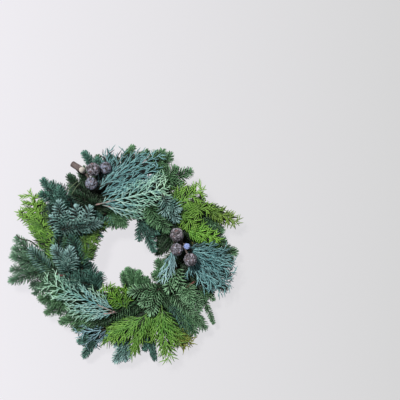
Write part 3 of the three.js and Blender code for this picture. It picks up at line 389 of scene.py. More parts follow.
# ---------------------------------------------------------------- wire frame and binding wire
# Two hoops of green lacquered steel wire with short struts between them, let into the underside,
# and a thinner wire wound round moss and frame, pulled tight over every turn.
TUBE_HEART = 19 * MM  # the height inside the ring that the wires' seams face away from
HOOP_RADIUS = 1.6 * MM
HOOP_STEPS = 240
HOOP_SIDES = 10
STRUT_RADIUS = 1.1 * MM
STRUT_COUNT = 6
BINDING_RADIUS = 0.9 * MM
BINDING_STEPS = 480
BINDING_SIDES = 8
BINDING_OUTER = np.array([[21.5, 1.9], [26.3, 12], [23.2, 29], [17, 36], [8.5, 39.2]]) * MM
BINDING_MOVES = np.array([0, 0, 1, 2, 3, 4, 5, 6, 7, 8]) / 9  # the share of a turn at each corner


def loop_tube(path, radius, sides):
    """A round tube along a closed path: its corners stand off the path by radius * (out * cos +
    over * sin), out pointing away from the middle of the ring's section."""
    along = unit(np.roll(path, -1, 0) - np.roll(path, 1, 0))
    flat = path - RING_CENTRE
    angle = np.arctan2(flat[:, 1], flat[:, 0])
    out = path - ring_points(0.0, angle, TUBE_HEART)
    out = unit(out - along * (out * along).sum(-1, keepdims=True))
    over = np.cross(along, out)
    turn = np.linspace(0, 2 * np.pi, sides, endpoint=False)[:, None]
    points = path[:, None] + radius * (np.cos(turn) * out[:, None] + np.sin(turn) * over[:, None])
    return points.reshape(-1, 3), closed_grid(len(path), sides)[:, ::-1]


def gather(parts):
    """Several (points, faces) put together, with the faces of each counted on from the last."""
    starts = np.cumsum([0] + [len(points) for points, _ in parts[:-1]])
    faces = [faces + start for (_, faces), start in zip(parts, starts)]
    return np.concatenate([points for points, _ in parts]), np.concatenate(faces)


wire_finish = Finish("green lacquered wire")
wire_wear = wire_finish.noise(220, 3)
wire_colour = wire_finish.ramp(wire_wear, (0.35, "#2f3d2c"), (0.6, "#485743"), (0.72, "#6d7466"))
wire_material = wire_finish.surface(
    Base_Color=wire_colour, Roughness=0.35 + wire_wear * 0.25, Metallic=0.3)

hoop_angle = np.linspace(0, 2 * np.pi, HOOP_STEPS, endpoint=False)
hoops = [loop_tube(ring_points(aside, hoop_angle, HOOP_HEIGHT), HOOP_RADIUS, HOOP_SIDES)
         for aside in (-HOOP_OFFSET, HOOP_OFFSET)]
strut_angle = ((np.arange(STRUT_COUNT) + 0.5) * 2 * np.pi / STRUT_COUNT)[:, None]
strut_paths = ring_points(np.array([[-HOOP_OFFSET, 0, HOOP_OFFSET]]), strut_angle, HOOP_HEIGHT)
strut_half = np.full((STRUT_COUNT, 3), STRUT_RADIUS)
struts = sticks(strut_paths, UP + 0 * strut_paths, strut_half, strut_half)
frame_points, frame_faces = gather([*hoops, struts])
settle(write_mesh("hoops", frame_points, [frame_faces], [wire_material]), "wire", "wire_frame")

binding_inner = BINDING_OUTER * [-1, 1]
one_turn = np.concatenate([binding_inner[:1], BINDING_OUTER, binding_inner[:0:-1]])
binding_corners = np.concatenate([
    np.column_stack([one_turn, ((turn + 0.25) + BINDING_MOVES) * 2 * np.pi / BINDING_TURNS])
    for turn in range(BINDING_TURNS)])
closing_corner = binding_corners[:1] + [0, 0, 2 * np.pi]
binding_line = even_path(np.concatenate([binding_corners, closing_corner]), BINDING_STEPS + 1)[:-1]
binding_path = ring_points(binding_line[:, 0], binding_line[:, 2], binding_line[:, 1])
binding_points, binding_faces = loop_tube(binding_path, BINDING_RADIUS, BINDING_SIDES)
settle(write_mesh("binding", binding_points, [binding_faces], [wire_material]), "wire", "binding_wire")

# ---------------------------------------------------------------- fir
# Cut tips of fir: flat green and blue-green needles on a thin brown shoot, standing off it to both
# sides and above, leaning forwards, more so at the tip. One to three shoots fork from one stem,
# whose foot is pushed down into the moss.
STEM_FOOT_HEIGHT = 20
STEM_SET_BACK = 14
STEM_RADIUS = 1.7
SHOOT_RADII = (1.5, 0.9)  # of a shoot's wood, from its start to its end
WOOD_TINT = [0.5, 0.5, 0.3, 1.0]  # what bare wood has in the place of a leaf's values
FIR_FORMS = {  # spacing along one row, half width and length of a needle, and its lean off the wood
    "comb": (4.6, 1.05, 19, 64), "fine": (3.9, 0.9, 18, 62), "star": (5.8, 1.3, 18.5, 72),
    "brush": (3.4, 0.95, 18, 54), "ladder": (4.6, 1.15, 19, 80), "bristle": (4.2, 1.05, 16, 56),
    "finger": (2.7, 0.9, 14, 36), "pad": (2.9, 0.95, 14.5, 52), "sparse": (4.4, 0.9, 10, 52)}
FIR_ARCH = 7
WOOD_SHORT = 10  # a shoot's wood ends this far before its needles do
GOLDEN_TURN = np.pi * (3 - np.sqrt(5))
# Last value of each row: painted light, lit over the top, full painted shade on the two rows below.
ROWS_ROUND = np.array([  # rows of needles: degrees round the shoot over its top, length, step, paleness
    [6, 1.0, 0.0, 1.0], [174, 1.0, 0.1, 1.0], [36, 0.8, 0.03, 1.0], [144, 0.8, 0.13, 1.0],
    [72, 0.5, 0.3, 0.8], [108, 0.5, 0.8, 0.8], [-26, 0.95, 0.5, 0.0], [206, 0.95, 0.6, 0.0]])
TIP_NEEDLES = 12


def blend_to(low, high, share):
    """low + (high - low) * share."""
    return low + (high - low) * share


def curve_at(start, control, end, share):
    """Quadratic curves: (1-t)^2 start + 2t(1-t) control + t^2 end, for shares t along each."""
    t = share[..., None]
    return (1 - t) ** 2 * start + 2 * t * (1 - t) * control + t ** 2 * end


def fir_needles(curve, form, rng, rings, painted_light, scale):
    """Needles along one shoot in eight rows, those of one side nearly in step. They lean forward
    off the wood, more so at the tip, where the last ones stand round the bud like a star, turn
    upwards a little and curve forwards along their length."""
    spacing, half_width, length, leaning = FIR_FORMS[form]
    each = max(int(np.linalg.norm(curve[2] - curve[0]) / MM / spacing), 2)
    row = np.repeat(np.arange(len(ROWS_ROUND)), each)
    number = np.tile(np.arange(each), len(ROWS_ROUND))
    angle, long, step, painted_paleness = ROWS_ROUND[row].T
    share = (number + step + 0.3 + rng.normal(0, 0.05, len(row))) / each
    turn = np.radians(angle + rng.normal(0, 4, len(row)))
    leaning = blend_to(leaning, 0.6 * leaning, np.clip(share, 0, 1) ** 5)
    lean = np.radians(leaning + rng.normal(0, 2.5, len(row)))
    size = long * (1 - 0.3 * np.clip(share, 0, 1) ** 6) * rng.uniform(0.9, 1.05, len(row))
    # Painted light: the row's share times the shoot's, then random painted shade on needles turned from the
    # light.
    painted_paleness = np.concatenate([painted_paleness, np.ones(TIP_NEEDLES)]) * painted_light
    painted_paleness = painted_paleness * rng.uniform(0.5, 1, len(painted_paleness)) ** 0.7
    share = np.concatenate([share, np.full(TIP_NEEDLES, 0.99)])
    turn = np.concatenate([turn, np.arange(TIP_NEEDLES) * GOLDEN_TURN])
    lean = np.concatenate([lean, np.radians(rng.uniform(4, 42, TIP_NEEDLES))])
    size = length * scale * np.concatenate([size, rng.uniform(0.55, 0.72, TIP_NEEDLES)])
    count = len(share)
    root = curve_at(*curve, np.clip(share, 0.01, 1))
    along = unit(curve_at(*curve, np.clip(share, 0.01, 1) + 0.02) - root)
    across = unit(np.cross(along, UP))
    over = np.cross(across, along)
    out = np.cos(turn)[:, None] * across + np.sin(turn)[:, None] * over
    way = unit(out * np.sin(lean)[:, None] + along * np.cos(lean)[:, None] + UP * 0.12)
    t = np.linspace(0, 1, rings)[None, :, None]
    curve = along[:, None] * 0.07 + UP * 0.05 + rng.normal(0, 0.02, (count, 1, 3))
    paths = root[:, None] + size[:, None, None] * MM * (way[:, None] * t + curve * t ** 2)
    side = np.cross(way, UP + 0.4 * along + rng.normal(0, 0.25, (count, 3)))[:, None]
    width = np.interp(t[0, :, 0], [0, 0.3, 0.8, 1], [0.6, 1.0, 1.0, 0.55]) * half_width * MM
    half = width * rng.uniform(0.88, 1.1, (count, 1))
    points, faces = sticks(paths, side, half, half * 0.42)
    painted_light_and_tone = np.ones((count, rings, 4, 4))
    # Painted shade darkens each needle towards its root.
    painted_light_and_tone[..., 0] = t * painted_paleness[:, None, None]
    painted_light_and_tone[..., 1] = (rng.uniform(0, 1, count) * painted_paleness)[:, None, None]
    painted_light_and_tone[..., 2] = np.array([0.1, 1.0, 0.1, 0.0]) * painted_paleness[:, None, None]
    painted_light_and_tone[..., 3] = (np.clip(share, 0, 1) * painted_paleness)[:, None, None]
    return points, faces, painted_light_and_tone.reshape(-1, 4)


def wood_line(paths, radii):
    """Rods for bare wood along paths (n, rings, 3), with a radius at each ring."""
    side = np.cross(paths[:, 1] - paths[:, 0], UP + 0.01)[:, None]
    return sticks(paths, side, radii, radii)


def shoot_curve(start, tip):
    """The start, control and end of a shoot's wood, a low arch that stops short of its tip."""
    end = tip - unit(tip - start) * WOOD_SHORT * MM
    return start, (start + end) / 2 + UP * FIR_ARCH * MM, end


def fir_shoot(curve, form, rng, rings=4, painted_light=1.0, scale=1.0):
    """One shoot: its needles, their painted light and tones, and its wood."""
    points, faces, painted_light_and_tone = fir_needles(curve, form, rng, rings, painted_light, scale)
    path = curve_at(*curve, np.linspace(0, 1, 2 * rings))[None]
    return (points, faces), painted_light_and_tone, wood_line(path, np.linspace(*SHOOT_RADII, 2 * rings)[None] * MM)


def leaf_finish(name, deep, body, pale, under, young, gloss):
    """Needles and scale leaves, pale on the tips of some, with a bloom beneath, and of another green
    on the young end of the shoot; deep is painted shade, at the root and on shaded shoots and layers.
    The attribute 'leaf' holds painted light, chance, underside and place along the shoot."""
    finish = Finish(name)
    reading = finish.node("Attribute", {"attribute_name": "leaf"})
    along = reading.also("Alpha")
    painted_light = finish.node("SeparateColor", {}, {0: reading})
    chance, beneath = painted_light.also(1), painted_light.also(2)
    cloud = finish.noise(45, 3)
    fresh = finish.blend(paint(body), paint(young), finish.clamped(along * 1.6 - 0.6 + (cloud - 0.5)))
    # Painted shade: the deep colour takes over where the painted light is low.
    painted_shade_green = finish.blend(paint(deep), fresh, finish.clamped(painted_light * 1.5 - 0.15))
    paler = finish.clamped((chance ** 1.6) * painted_light * (cloud + 0.35))
    colour = finish.blend(finish.blend(painted_shade_green, paint(pale), paler), paint(under), beneath * 0.5)
    return finish.surface(Base_Color=colour, Roughness=gloss + cloud * 0.15)


bark_finish = Finish("young brown bark")
bark_grain = bark_finish.noise(500, 4)
bark_colour = bark_finish.ramp(bark_grain, (0.3, "#14120d"), (0.55, "#29251b"), (0.75, "#403729"))
bark_bump = bark_finish.bumped(bark_grain, 0.6, 0.0006)
bark_material = bark_finish.surface(Base_Color=bark_colour, Roughness=0.8, Normal=bark_bump)

FIR_FINISHES = {
    "fir_green": leaf_finish("fir green", "#07140b", "#34603a", "#7fb080", "#63906c", "#609266", 0.42),
    "fir_dark": leaf_finish("fir deep green", "#030603", "#142a18", "#375c3e", "#263f2e", "#355e44", 0.42),
    "fir_teal": leaf_finish("fir blue-green", "#050f0d", "#224a41", "#72a898", "#4c7770", "#4e8577", 0.42),
    "fir_grey": leaf_finish("fir grey-green", "#0b1910", "#3c6649", "#88b090", "#6c917a", "#6c9c7c", 0.45),
    "fir_blue": leaf_finish("fir silver-blue", "#091817", "#4c7a72", "#b0d4cd", "#8cb0ac", "#94bdc0", 0.45),
    "fir_star": leaf_finish("fir fresh green", "#08170c", "#4d7c52", "#a4cda6", "#86ac88", "#82b48a", 0.42),
}
FIR = [  # name, slot, heart, tips of the needles, form
    ("fir_left_outer", "fir_grey", (-150, -27, 50),
     [(-232, -1, 34), (-234, -55, 34), (-222, 35, 34)], "fine"),
    ("fir_left_silver", "fir_blue", (-114, -35, 62), [(-142, 19, 68), (-108, 17, 70)], "fine"),
    ("fir_left_inner", "fir_green", (-86, -27, 52), [(-108, 41, 58), (-78, 44, 48)], "comb"),
    ("fir_left_middle", "fir_green", (-70, -61, 56), [(-134, -41, 58)], "fine"),
    ("fir_hole_left", "fir_green", (-55, -78, 46), [(-70, -16, 46), (-84, -22, 46)], "fine"),
    ("fir_upper_left_outer", "fir_green", (-118, 85, 46), [(-168, 153, 40)], "bristle"),
    ("fir_upper_left_blue", "fir_blue", (-122, 37, 50), [(-134, 109, 52)], "ladder"),
    ("fir_upper_left_dark", "fir_green", (-54, 93, 50),
     [(-116, 161, 50), (-92, 173, 44), (-112, 128, 56)], "bristle"),
    ("fir_upper_left_crest", "fir_blue", (-90, 45, 60), [(-98, 99, 66), (-66, 97, 68)], "star"),
    ("fir_hole_upper_left", "fir_green", (-98, 37, 44), [(-24, 71, 50), (-50, 85, 46)], "comb"),
    ("fir_hole_top", "fir_green", (-38, 81, 44), [(6, 57, 46), (24, 79, 48)], "brush"),
    ("fir_top_left", "fir_green", (-50, 159, 44), [(-86, 209, 34), (-26, 203, 36)], "pad"),
    ("fir_top", "fir_green", (-10, 165, 40), [(18, 221, 34), (50, 209, 36)], "pad"),
    ("fir_top_right", "fir_green", (54, 159, 42), [(94, 203, 34), (78, 211, 30)], "brush"),
    ("fir_upper_right_tuft", "fir_green", (66, 143, 50), [(136, 167, 46)], "comb"),
    ("fir_upper_right_blue", "fir_blue", (76, 118, 72), [(106, 65, 66)], "comb"),
    ("fir_upper_right_inner", "fir_green", (50, 100, 60), [(88, 44, 62), (66, 52, 64)], "comb"),
    ("fir_hole_right", "fir_green", (29, 84, 46), [(60, 3, 46)], "bristle"),
    ("fir_right_upper", "fir_green", (146, 79, 34), [(204, 69, 24), (198, 43, 24)], "brush"),
    ("fir_right_outer", "fir_green", (160, 23, 34), [(204, 27, 28), (226, 1, 26)], "brush"),
    ("fir_hole_lower_right", "fir_green", (86, -61, 44), [(64, -9, 44)], "brush"),
    ("fir_right_star", "fir_blue", (102, -27, 60), [(86, -77, 62), (112, -75, 60)], "star"),
    ("fir_lower_right", "fir_green", (122, -57, 54), [(152, -113, 44), (132, -107, 52)], "comb"),
    ("fir_right_hanging", "fir_green", (150, -71, 40), [(184, -95, 32), (180, -145, 24)], "sparse"),
    ("fir_lower_right_outer", "fir_green", (110, -101, 46),
     [(156, -141, 34), (142, -163, 30), (124, -173, 34)], "brush"),
    ("fir_bottom_fingers", "fir_green", (46, -151, 34), [(60, -217, 26), (36, -181, 40)], "finger"),
    ("fir_bottom_blue", "fir_blue", (10, -167, 34), [(-22, -219, 26)], "brush"),
    ("fir_bottom_inner", "fir_green", (66, -71, 56),
     [(50, -121, 66), (6, -75, 62), (30, -101, 66)], "comb"),
    ("fir_hole_bottom", "fir_green", (30, -81, 44), [(2, -24, 42), (27, -29, 46), (46, -43, 44)], "pad"),
    ("fir_lower_left_outer", "fir_green", (-106, -91, 46), [(-176, -87, 34), (-162, -119, 28)], "fine"),
    ("fir_lower_left", "fir_green", (-60, -127, 46), [(-134, -135, 30), (-106, -153, 26)], "brush"),
    ("fir_bottom_left_fingers", "fir_green", (-54, -155, 34), [(-86, -211, 24), (-98, -179, 26)], "pad"),
]


def stem(heart, growth):
    """The bare stem: from its foot in the moss, set back from the heart, up and over to it."""
    foot = heart - unit(growth * [1, 1, 0]) * STEM_SET_BACK * MM
    foot[2] = STEM_FOOT_HEIGHT * MM
    elbow = np.array([*blend_to(foot, heart, 0.3)[:2], blend_to(foot[2], heart[2], 0.95)])
    path = curve_at(foot, elbow, heart, np.linspace(0, 1, 8))[None]
    return wood_line(path, np.full((1, 8), STEM_RADIUS * MM))


def foliage(name, slot_name, finishes, leaves, painted_lights_and_tones, wood, *nodes):
    """One piece of leaves, with their painted light and tones, and of bare wood, in that order of
    materials.
    """
    points, faces = gather([*leaves, *wood])
    choice = np.arange(len(faces)) >= sum(len(part) for _, part in leaves)
    plain = np.tile(WOOD_TINT, (len(points) - sum(len(painted_light_and_tone) for painted_light_and_tone in painted_lights_and_tones), 1))
    piece = write_mesh(name, points, [faces], finishes, choice, leaf=np.concatenate([*painted_lights_and_tones, plain]))
    settle(piece, slot_name, *nodes)


SHADES = {  # sprays whose finish isn't the one named for their slot
    **dict.fromkeys(("fir_upper_left_outer", "fir_top_left", "fir_hole_upper_left", "fir_left_inner",
                     "fir_bottom_left_fingers", "fir_bottom_fingers", "fir_hole_right", "fir_hole_left",
                     "fir_left_middle"), "fir_teal"),
    "fir_upper_left_dark": "fir_dark", "fir_right_star": "fir_star", "fir_lower_right": "fir_star",
    "fir_bottom_inner": "fir_star"}


def fir_spray(name, slot_name, heart, tips, form, seed):
    """One spray: a stem, a shoot to each tip, and short side shoots, two of them where there is
    only one tip and one on each shoot where there are two tips."""
    rng = np.random.default_rng(seed)
    heart = place(*heart)
    tips = [place(*tip) for tip in tips]
    curves = []
    for tip in tips:
        main = shoot_curve(heart, tip)
        curves.append(main)
        run = main[2] - heart
        forks = (1, rng.uniform(0.12, 0.25)), (-1, rng.uniform(0.22, 0.38))
        for side, share in forks[:3 - len(tips)]:
            fork = curve_at(*main, np.array([share]))[0]
            sideways = unit(np.cross(run, UP)) * side
            reach = unit(run + sideways * np.linalg.norm(run) * 0.62) * np.linalg.norm(run) * 0.42
            reach[2] *= 0.3
            curves.append((fork, fork + reach / 2 + UP * 1.5 * MM, fork + reach))
    leaves, painted_lights_and_tones, wood = zip(*[fir_shoot(curve, form, rng) for curve in curves])
    wood = [*wood, stem(heart, np.mean(tips, 0) - heart)]
    finish = FIR_FINISHES[SHADES.get(name, slot_name)]
    foliage(name + "_spray", slot_name, [finish, bark_material], leaves, painted_lights_and_tones, wood, name)


for number, spray in enumerate(FIR):
    fir_spray(*spray, 100 + number)

# ---------------------------------------------------------------- fir undergrowth
# Shorter tips of fir pushed into the moss all round, under the sprays that show. They lie the
# same way round, some leaning outwards and some inwards, and hide the moss.
OUTER_REACH = [  # from the ring's middle to the outer tips, for each 15 degrees
    224, 216, 205, 202, 200, 214, 216, 218, 210, 194, 222, 190,
    224, 196, 184, 176, 190, 188, 192, 184, 208, 200, 200, 224]
INNER_REACH = [  # and to the inner tips
    44, 40, 42, 52, 62, 68, 64, 60, 62, 64, 66, 68,
    70, 64, 66, 68, 72, 66, 60, 60, 62, 64, 64, 64]
# A row's lightness is painted light: the rows under the sprays are painted darker, as shade.
ROWS = [  # name, shoots, radius of their starts, degrees from tip to start, heights of start and
    # tip, reach of the tips, what is added to that always and at random, lightness
    ("outer_low", 34, 118, 17, (24, 14), OUTER_REACH, -6, -14, 0.75),
    ("outer_high", 34, 118, 20, (34, 26), OUTER_REACH, -24, -14, 0.45),
    ("inner_low", 28, 122, 20, (26, 22), INNER_REACH, 10, 10, 0.75),
    ("inner_high", 26, 126, 24, (38, 34), INNER_REACH, 22, 10, 0.45),
    ("middle", 40, 130, 22, (38, 40), [130] * 24, -24, 50, 0.3)]
# A shoot's lightness is painted light: those that lie under others are painted darker, as shade.
LOOSE = [  # single shoots of the undergrowth: finish, form, lightness, heart and tip
    ("fir_grey", "fine", 1.0, (-158, -20, 40), (-228, 14, 30)),
    ("fir_grey", "fine", 1.0, (-158, -36, 40), (-232, -30, 28)),
    ("fir_grey", "fine", 1.0, (-150, -48, 38), (-192, -66, 26)),
    ("fir_grey", "fine", 1.0, (-140, -10, 40), (-194, 6, 32)),
    ("fir_grey", "fine", 1.0, (-136, -62, 38), (-180, -62, 28)),
    ("fir_grey", "fine", 1.0, (-124, -76, 40), (-168, -98, 26)),
    ("fir_grey", "fine", 1.0, (-112, -80, 42), (-156, -106, 30)),
    ("fir_grey", "fine", 1.0, (-100, -90, 42), (-138, -120, 28)),
    ("fir_grey", "fine", 1.0, (-88, -100, 40), (-122, -134, 24)),
    ("fir_green", "brush", 1.0, (-70, -124, 38), (-104, -154, 24)),
    ("fir_blue", "comb", 0.75, (-126, 50, 66), (-44, 64, 70)),
    ("fir_green", "brush", 1.0, (40, 160, 36), (66, 208, 28)),
    ("fir_green", "brush", 0.5, (128, -14, 44), (192, -46, 34)),
    ("fir_green", "brush", 0.5, (126, -30, 42), (176, -82, 32)),
    ("fir_green", "brush", 0.5, (136, 0, 44), (206, -16, 36)),
    ("fir_green", "brush", 0.5, (150, -40, 38), (206, -70, 30)),
    ("fir_star", "comb", 0.9, (96, -76, 54), (138, -124, 48)),
    ("fir_teal", "brush", 1.0, (90, -96, 48), (130, -152, 38)),
    ("fir_green", "brush", 0.8, (66, -58, 46), (94, -112, 50)),
    ("fir_star", "brush", 0.9, (128, -110, 44), (162, -152, 30)),
    ("fir_green", "brush", 0.5, (72, -84, 36), (26, -52, 34)),
    ("fir_green", "brush", 0.5, (94, -66, 36), (54, -38, 34)),
    ("fir_green", "brush", 0.6, (-110, 70, 34), (-150, 118, 30)),
    ("fir_teal", "brush", 0.8, (-112, 92, 44), (-150, 146, 40)),
    ("fir_teal", "brush", 0.6, (-128, 40, 36), (-152, 104, 34)),
    ("fir_teal", "comb", 0.8, (-96, 84, 46), (-134, 140, 46)),
    ("fir_green", "brush", 0.8, (30, -96, 44), (-14, -132, 46)),
    ("fir_green", "brush", 0.8, (40, -130, 34), (54, -186, 28)),
    ("fir_teal", "comb", 0.9, (-140, -4, 44), (-124, 58, 50)),
    ("fir_green", "brush", 0.9, (-118, 6, 46), (-100, 60, 52)),
    ("fir_green", "pad", 0.6, (34, -90, 36), (14, -36, 34)),
    ("fir_green", "pad", 0.6, (52, -84, 36), (38, -42, 34)),
    ("fir_green", "brush", 0.6, (140, -30, 38), (212, -44, 30)),
    ("fir_green", "brush", 0.6, (146, 6, 38), (218, -14, 30)),
    ("fir_green", "brush", 0.5, (-58, 90, 50), (-2, 110, 57)),
    ("fir_green", "brush", 0.5, (-20, 106, 50), (42, 124, 58)),
    ("fir_green", "brush", 0.5, (20, 112, 50), (80, 130, 57)),
    ("fir_green", "brush", 0.5, (-22, -118, 48), (-76, -100, 54)),
    ("fir_green", "brush", 0.5, (-64, -106, 48), (-124, -76, 50)),
    ("fir_green", "brush", 0.5, (-32, -102, 48), (-88, -72, 52)),
    ("fir_green", "comb", 0.9, (10, -100, 50), (-34, -128, 48)),
    ("fir_teal", "brush", 0.8, (-20, -130, 36), (-62, -158, 32)),
    ("fir_grey", "fine", 0.9, (-152, -30, 38), (-212, -20, 28)),
    ("fir_grey", "fine", 0.9, (-150, -26, 40), (-208, 2, 30)),
    ("fir_grey", "fine", 0.9, (-146, -54, 36), (-186, -80, 24)),
    ("fir_blue", "comb", 0.85, (-152, -32, 52), (-192, 14, 46)),
    ("fir_green", "brush", 0.6, (114, 84, 40), (158, 112, 38)),
    ("fir_green", "brush", 0.6, (120, 76, 40), (196, 82, 34)),
    ("fir_green", "brush", 0.6, (-24, -122, 50), (-76, -142, 48)),
    ("fir_green", "pad", 0.9, (12, -88, 38), (-6, -32, 38)),
    ("fir_green", "pad", 0.9, (30, -84, 40), (14, -27, 42)),
    ("fir_grey", "fine", 0.85, (-118, -48, 50), (-164, -12, 50)),
    ("fir_grey", "fine", 0.85, (-104, -64, 48), (-150, -40, 46)),
]


def reach_at(reaches, angle):
    """The foliage's reach in millimetres at an angle in degrees, from its list for each 15."""
    return np.interp(angle % 360, np.arange(25) * 15, [*reaches, reaches[0]])


def round_ring(angle, radius, height):
    """A point of the wreath from an angle in degrees, a radius and a height in millimetres."""
    return place(radius * np.cos(np.radians(angle)), radius * np.sin(np.radians(angle)), height)


for number, row in enumerate(ROWS):
    name, count, start_radius, swing, heights, reaches, inset, spread, painted_light = row
    rng = np.random.default_rng(200 + number)
    shoots = []
    for angle in (np.arange(count) + rng.uniform(-0.25, 0.25, count)) * 360 / count:
        tip_radius = reach_at(reaches, angle) + inset + spread * rng.uniform(0, 1)
        start = round_ring(angle + swing, start_radius + rng.uniform(-8, 8), heights[0])
        tip = round_ring(angle, tip_radius, heights[1] + rng.uniform(-4, 4))
        scale = rng.uniform(0.8, 0.95)
        shoots.append(fir_shoot(shoot_curve(start, tip), "brush", rng, 3, painted_light, scale))
    finishes = [FIR_FINISHES["fir_green"], bark_material]
    foliage("undergrowth_" + name, "fir_green", finishes, *zip(*shoots))

for number, (shade, form, painted_light, start, tip) in enumerate(LOOSE):
    rng = np.random.default_rng(250 + number)
    shoot = fir_shoot(shoot_curve(place(*start), place(*tip)), form, rng, 3, painted_light)
    slot_name = shade if shade in ("fir_grey", "fir_blue") else "fir_green"
    finishes = [FIR_FINISHES[shade], bark_material]
    foliage("loose_shoot_%d" % (number + 1), slot_name, finishes, *([part] for part in shoot))

# ---------------------------------------------------------------- blue cypress
# Cut tips of blue cypress: round cords clad in tiny scale leaves, forking again and again in one
# flat fan, steel blue or pale mint with a waxy bloom. The foot of the main rib has bark on it.
# Painted light of each fan of a spray in turn: some are painted darker, as in the shade of the others.
FAN_PAINTED_LIGHT = (1.0, 0.85, 0.7, 0.8, 0.95)  # of the fans of a spray, in turn
LAYER_SHORTER = 0.07
LAYER_NARROWER = 0.16
LAYER_DROP = 5
BARK_SWELL = 1.15


def fan_outline(share):
    """The fan's half width along its rib, as a half ellipse: sqrt(1 - ((s - 0.55) / 0.56)^2)."""
    return np.sqrt(np.maximum(0, 1 - ((share - 0.55) / 0.56) ** 2))


class Cords:
    """Many forked cords: start, control and end points, and a radius at either end of each."""

    def __init__(self, start, control, end, thick, thin):
        self.start, self.control, self.end = start, control, end
        self.thick = thick + np.zeros(len(start))
        self.thin = thin + np.zeros(len(start))

    def join(self, other):
        """These cords and the other ones."""
        return Cords(*(np.concatenate([getattr(self, key), getattr(other, key)])
                       for key in ("start", "control", "end", "thick", "thin")))

    def lengths(self):
        """The straight length of each cord."""
        return np.linalg.norm(self.end - self.start, axis=1)

    def fork(self, shares, sides, length, form, rng):
        """Cords that leave each of these at the shares, to one side or the other: start on the
        parent, turned off its line by the angle in the fan's plane, then bent back towards it."""
        root = curve_at(self.start[:, None], self.control[:, None], self.end[:, None], shares)
        ahead = curve_at(self.start[:, None], self.control[:, None], self.end[:, None], shares + 0.03)
        along = unit(ahead - root)
        across = unit(np.cross(along, UP)) * sides[..., None]
        turn = np.radians(form["angle"] + rng.normal(0, 2.5, shares.shape))[..., None]
        tilt = rng.normal(0, form["flat"], shares.shape)[..., None]
        way = unit(along * np.cos(turn) + across * np.sin(turn) + UP * tilt)
        size = (length * rng.uniform(0.88, 1.1, shares.shape))[..., None]
        control = root + way * size * 0.5 + across * size * form["bend"]
        keep = (size[..., 0] > 0).ravel()
        corners = (corner.reshape(-1, 3)[keep] for corner in (root, control, root + way * size))
        return Cords(*corners, form["thin"], form["tip"])

    def rods(self, rings, form, rng, painted_light=1.0):
        """A closed rod along each cord, narrowed to form["point"] of its width at the tip."""
        t = np.linspace(0, 1, rings)
        paths = curve_at(self.start[:, None], self.control[:, None], self.end[:, None],
                         t + np.zeros((len(self.start), 1)))
        side = np.cross(self.end - self.start, UP + rng.normal(0, 0.12, self.start.shape))[:, None]
        past = np.clip((t - form["shoulder"]) / (1 - form["shoulder"]), 0, 1)
        half = blend_to(self.thick[:, None], self.thin[:, None], t) * (1 - (1 - form["point"]) * past)
        points, faces = sticks(paths, side, half, half * form["depth"])
        painted_light_and_tone = np.ones((len(self.start), rings, 4, 4))
        one_each = (len(self.start), 1, 1)
        # Painted shade: darker towards each cord's root, times the painted light and a random share.
        painted_light_and_tone[..., 0] = (0.6 + 0.4 * t[None, :, None]) * painted_light * rng.uniform(0.7, 1, one_each)
        painted_light_and_tone[..., 1] = rng.uniform(0, 1, one_each)
        painted_light_and_tone[..., 2] = np.array([0.1, 1.0, 0.1, 0.0]) * painted_light
        return points, faces, painted_light_and_tone.reshape(-1, 4)


def frond_cords(heart, tip, half_width, arch, bow, form, rng):
    """The cords of one fan, level by level: the rib; its side twigs, which end on the outline; and
    the twiglets on both."""
    sideways = unit(np.cross(tip - heart, UP))
    control = (heart + tip) / 2 + UP * arch * MM + sideways * 2 * bow * MM
    rib = Cords(heart[None], control[None], tip[None], form["rib"], form["tip"])
    each = int(np.linalg.norm(tip - heart) / MM / form["twig_step"])
    share = np.linspace(0.04, 0.9, each) + rng.uniform(-0.01, 0.01, each)
    side = np.where(np.arange(each) % 2, 1.0, -1.0)
    root = curve_at(heart, control, tip, share)
    reach = blend_to(share, 1, form["reach"] * rng.uniform(0.6, 1.15, each))
    outer = curve_at(heart, control, tip, reach)
    along = unit(curve_at(heart, control, tip, reach + 0.02) - outer)
    across = unit(np.cross(along, UP)) * side[:, None]
    wide = half_width * MM * fan_outline(reach) * rng.uniform(0.75, 1.08, each)
    end = outer + across * wide[:, None] - UP * (form["droop"] * MM * rng.uniform(0.0, 1.6, each))[:, None]
    run = np.linalg.norm(end - root, axis=1)[:, None]
    middle = (root + end) / 2 + across * 0.09 * run + UP * 2 * MM
    twigs = Cords(root, middle, end, form["twig"], form["tip"])
    parents = rib.join(twigs)
    steps = int(parents.lengths().max() / MM / form["step"])
    placed = (np.arange(steps) + rng.uniform(0.42, 0.58, (len(parents.start), steps))) * form["step"] * MM
    shares = placed / parents.lengths()[:, None]
    alive = (shares < 0.97) & (shares > 0.05)
    shares = np.clip(shares, 0, 0.97)
    sides = np.where(np.arange(steps) % 2, 1.0, -1.0) + 0 * shares
    length = form["twiglet"] * MM * blend_to(1.1, form["last"], shares) * alive
    return rib, twigs, parents.fork(shares, sides, length, form, rng)


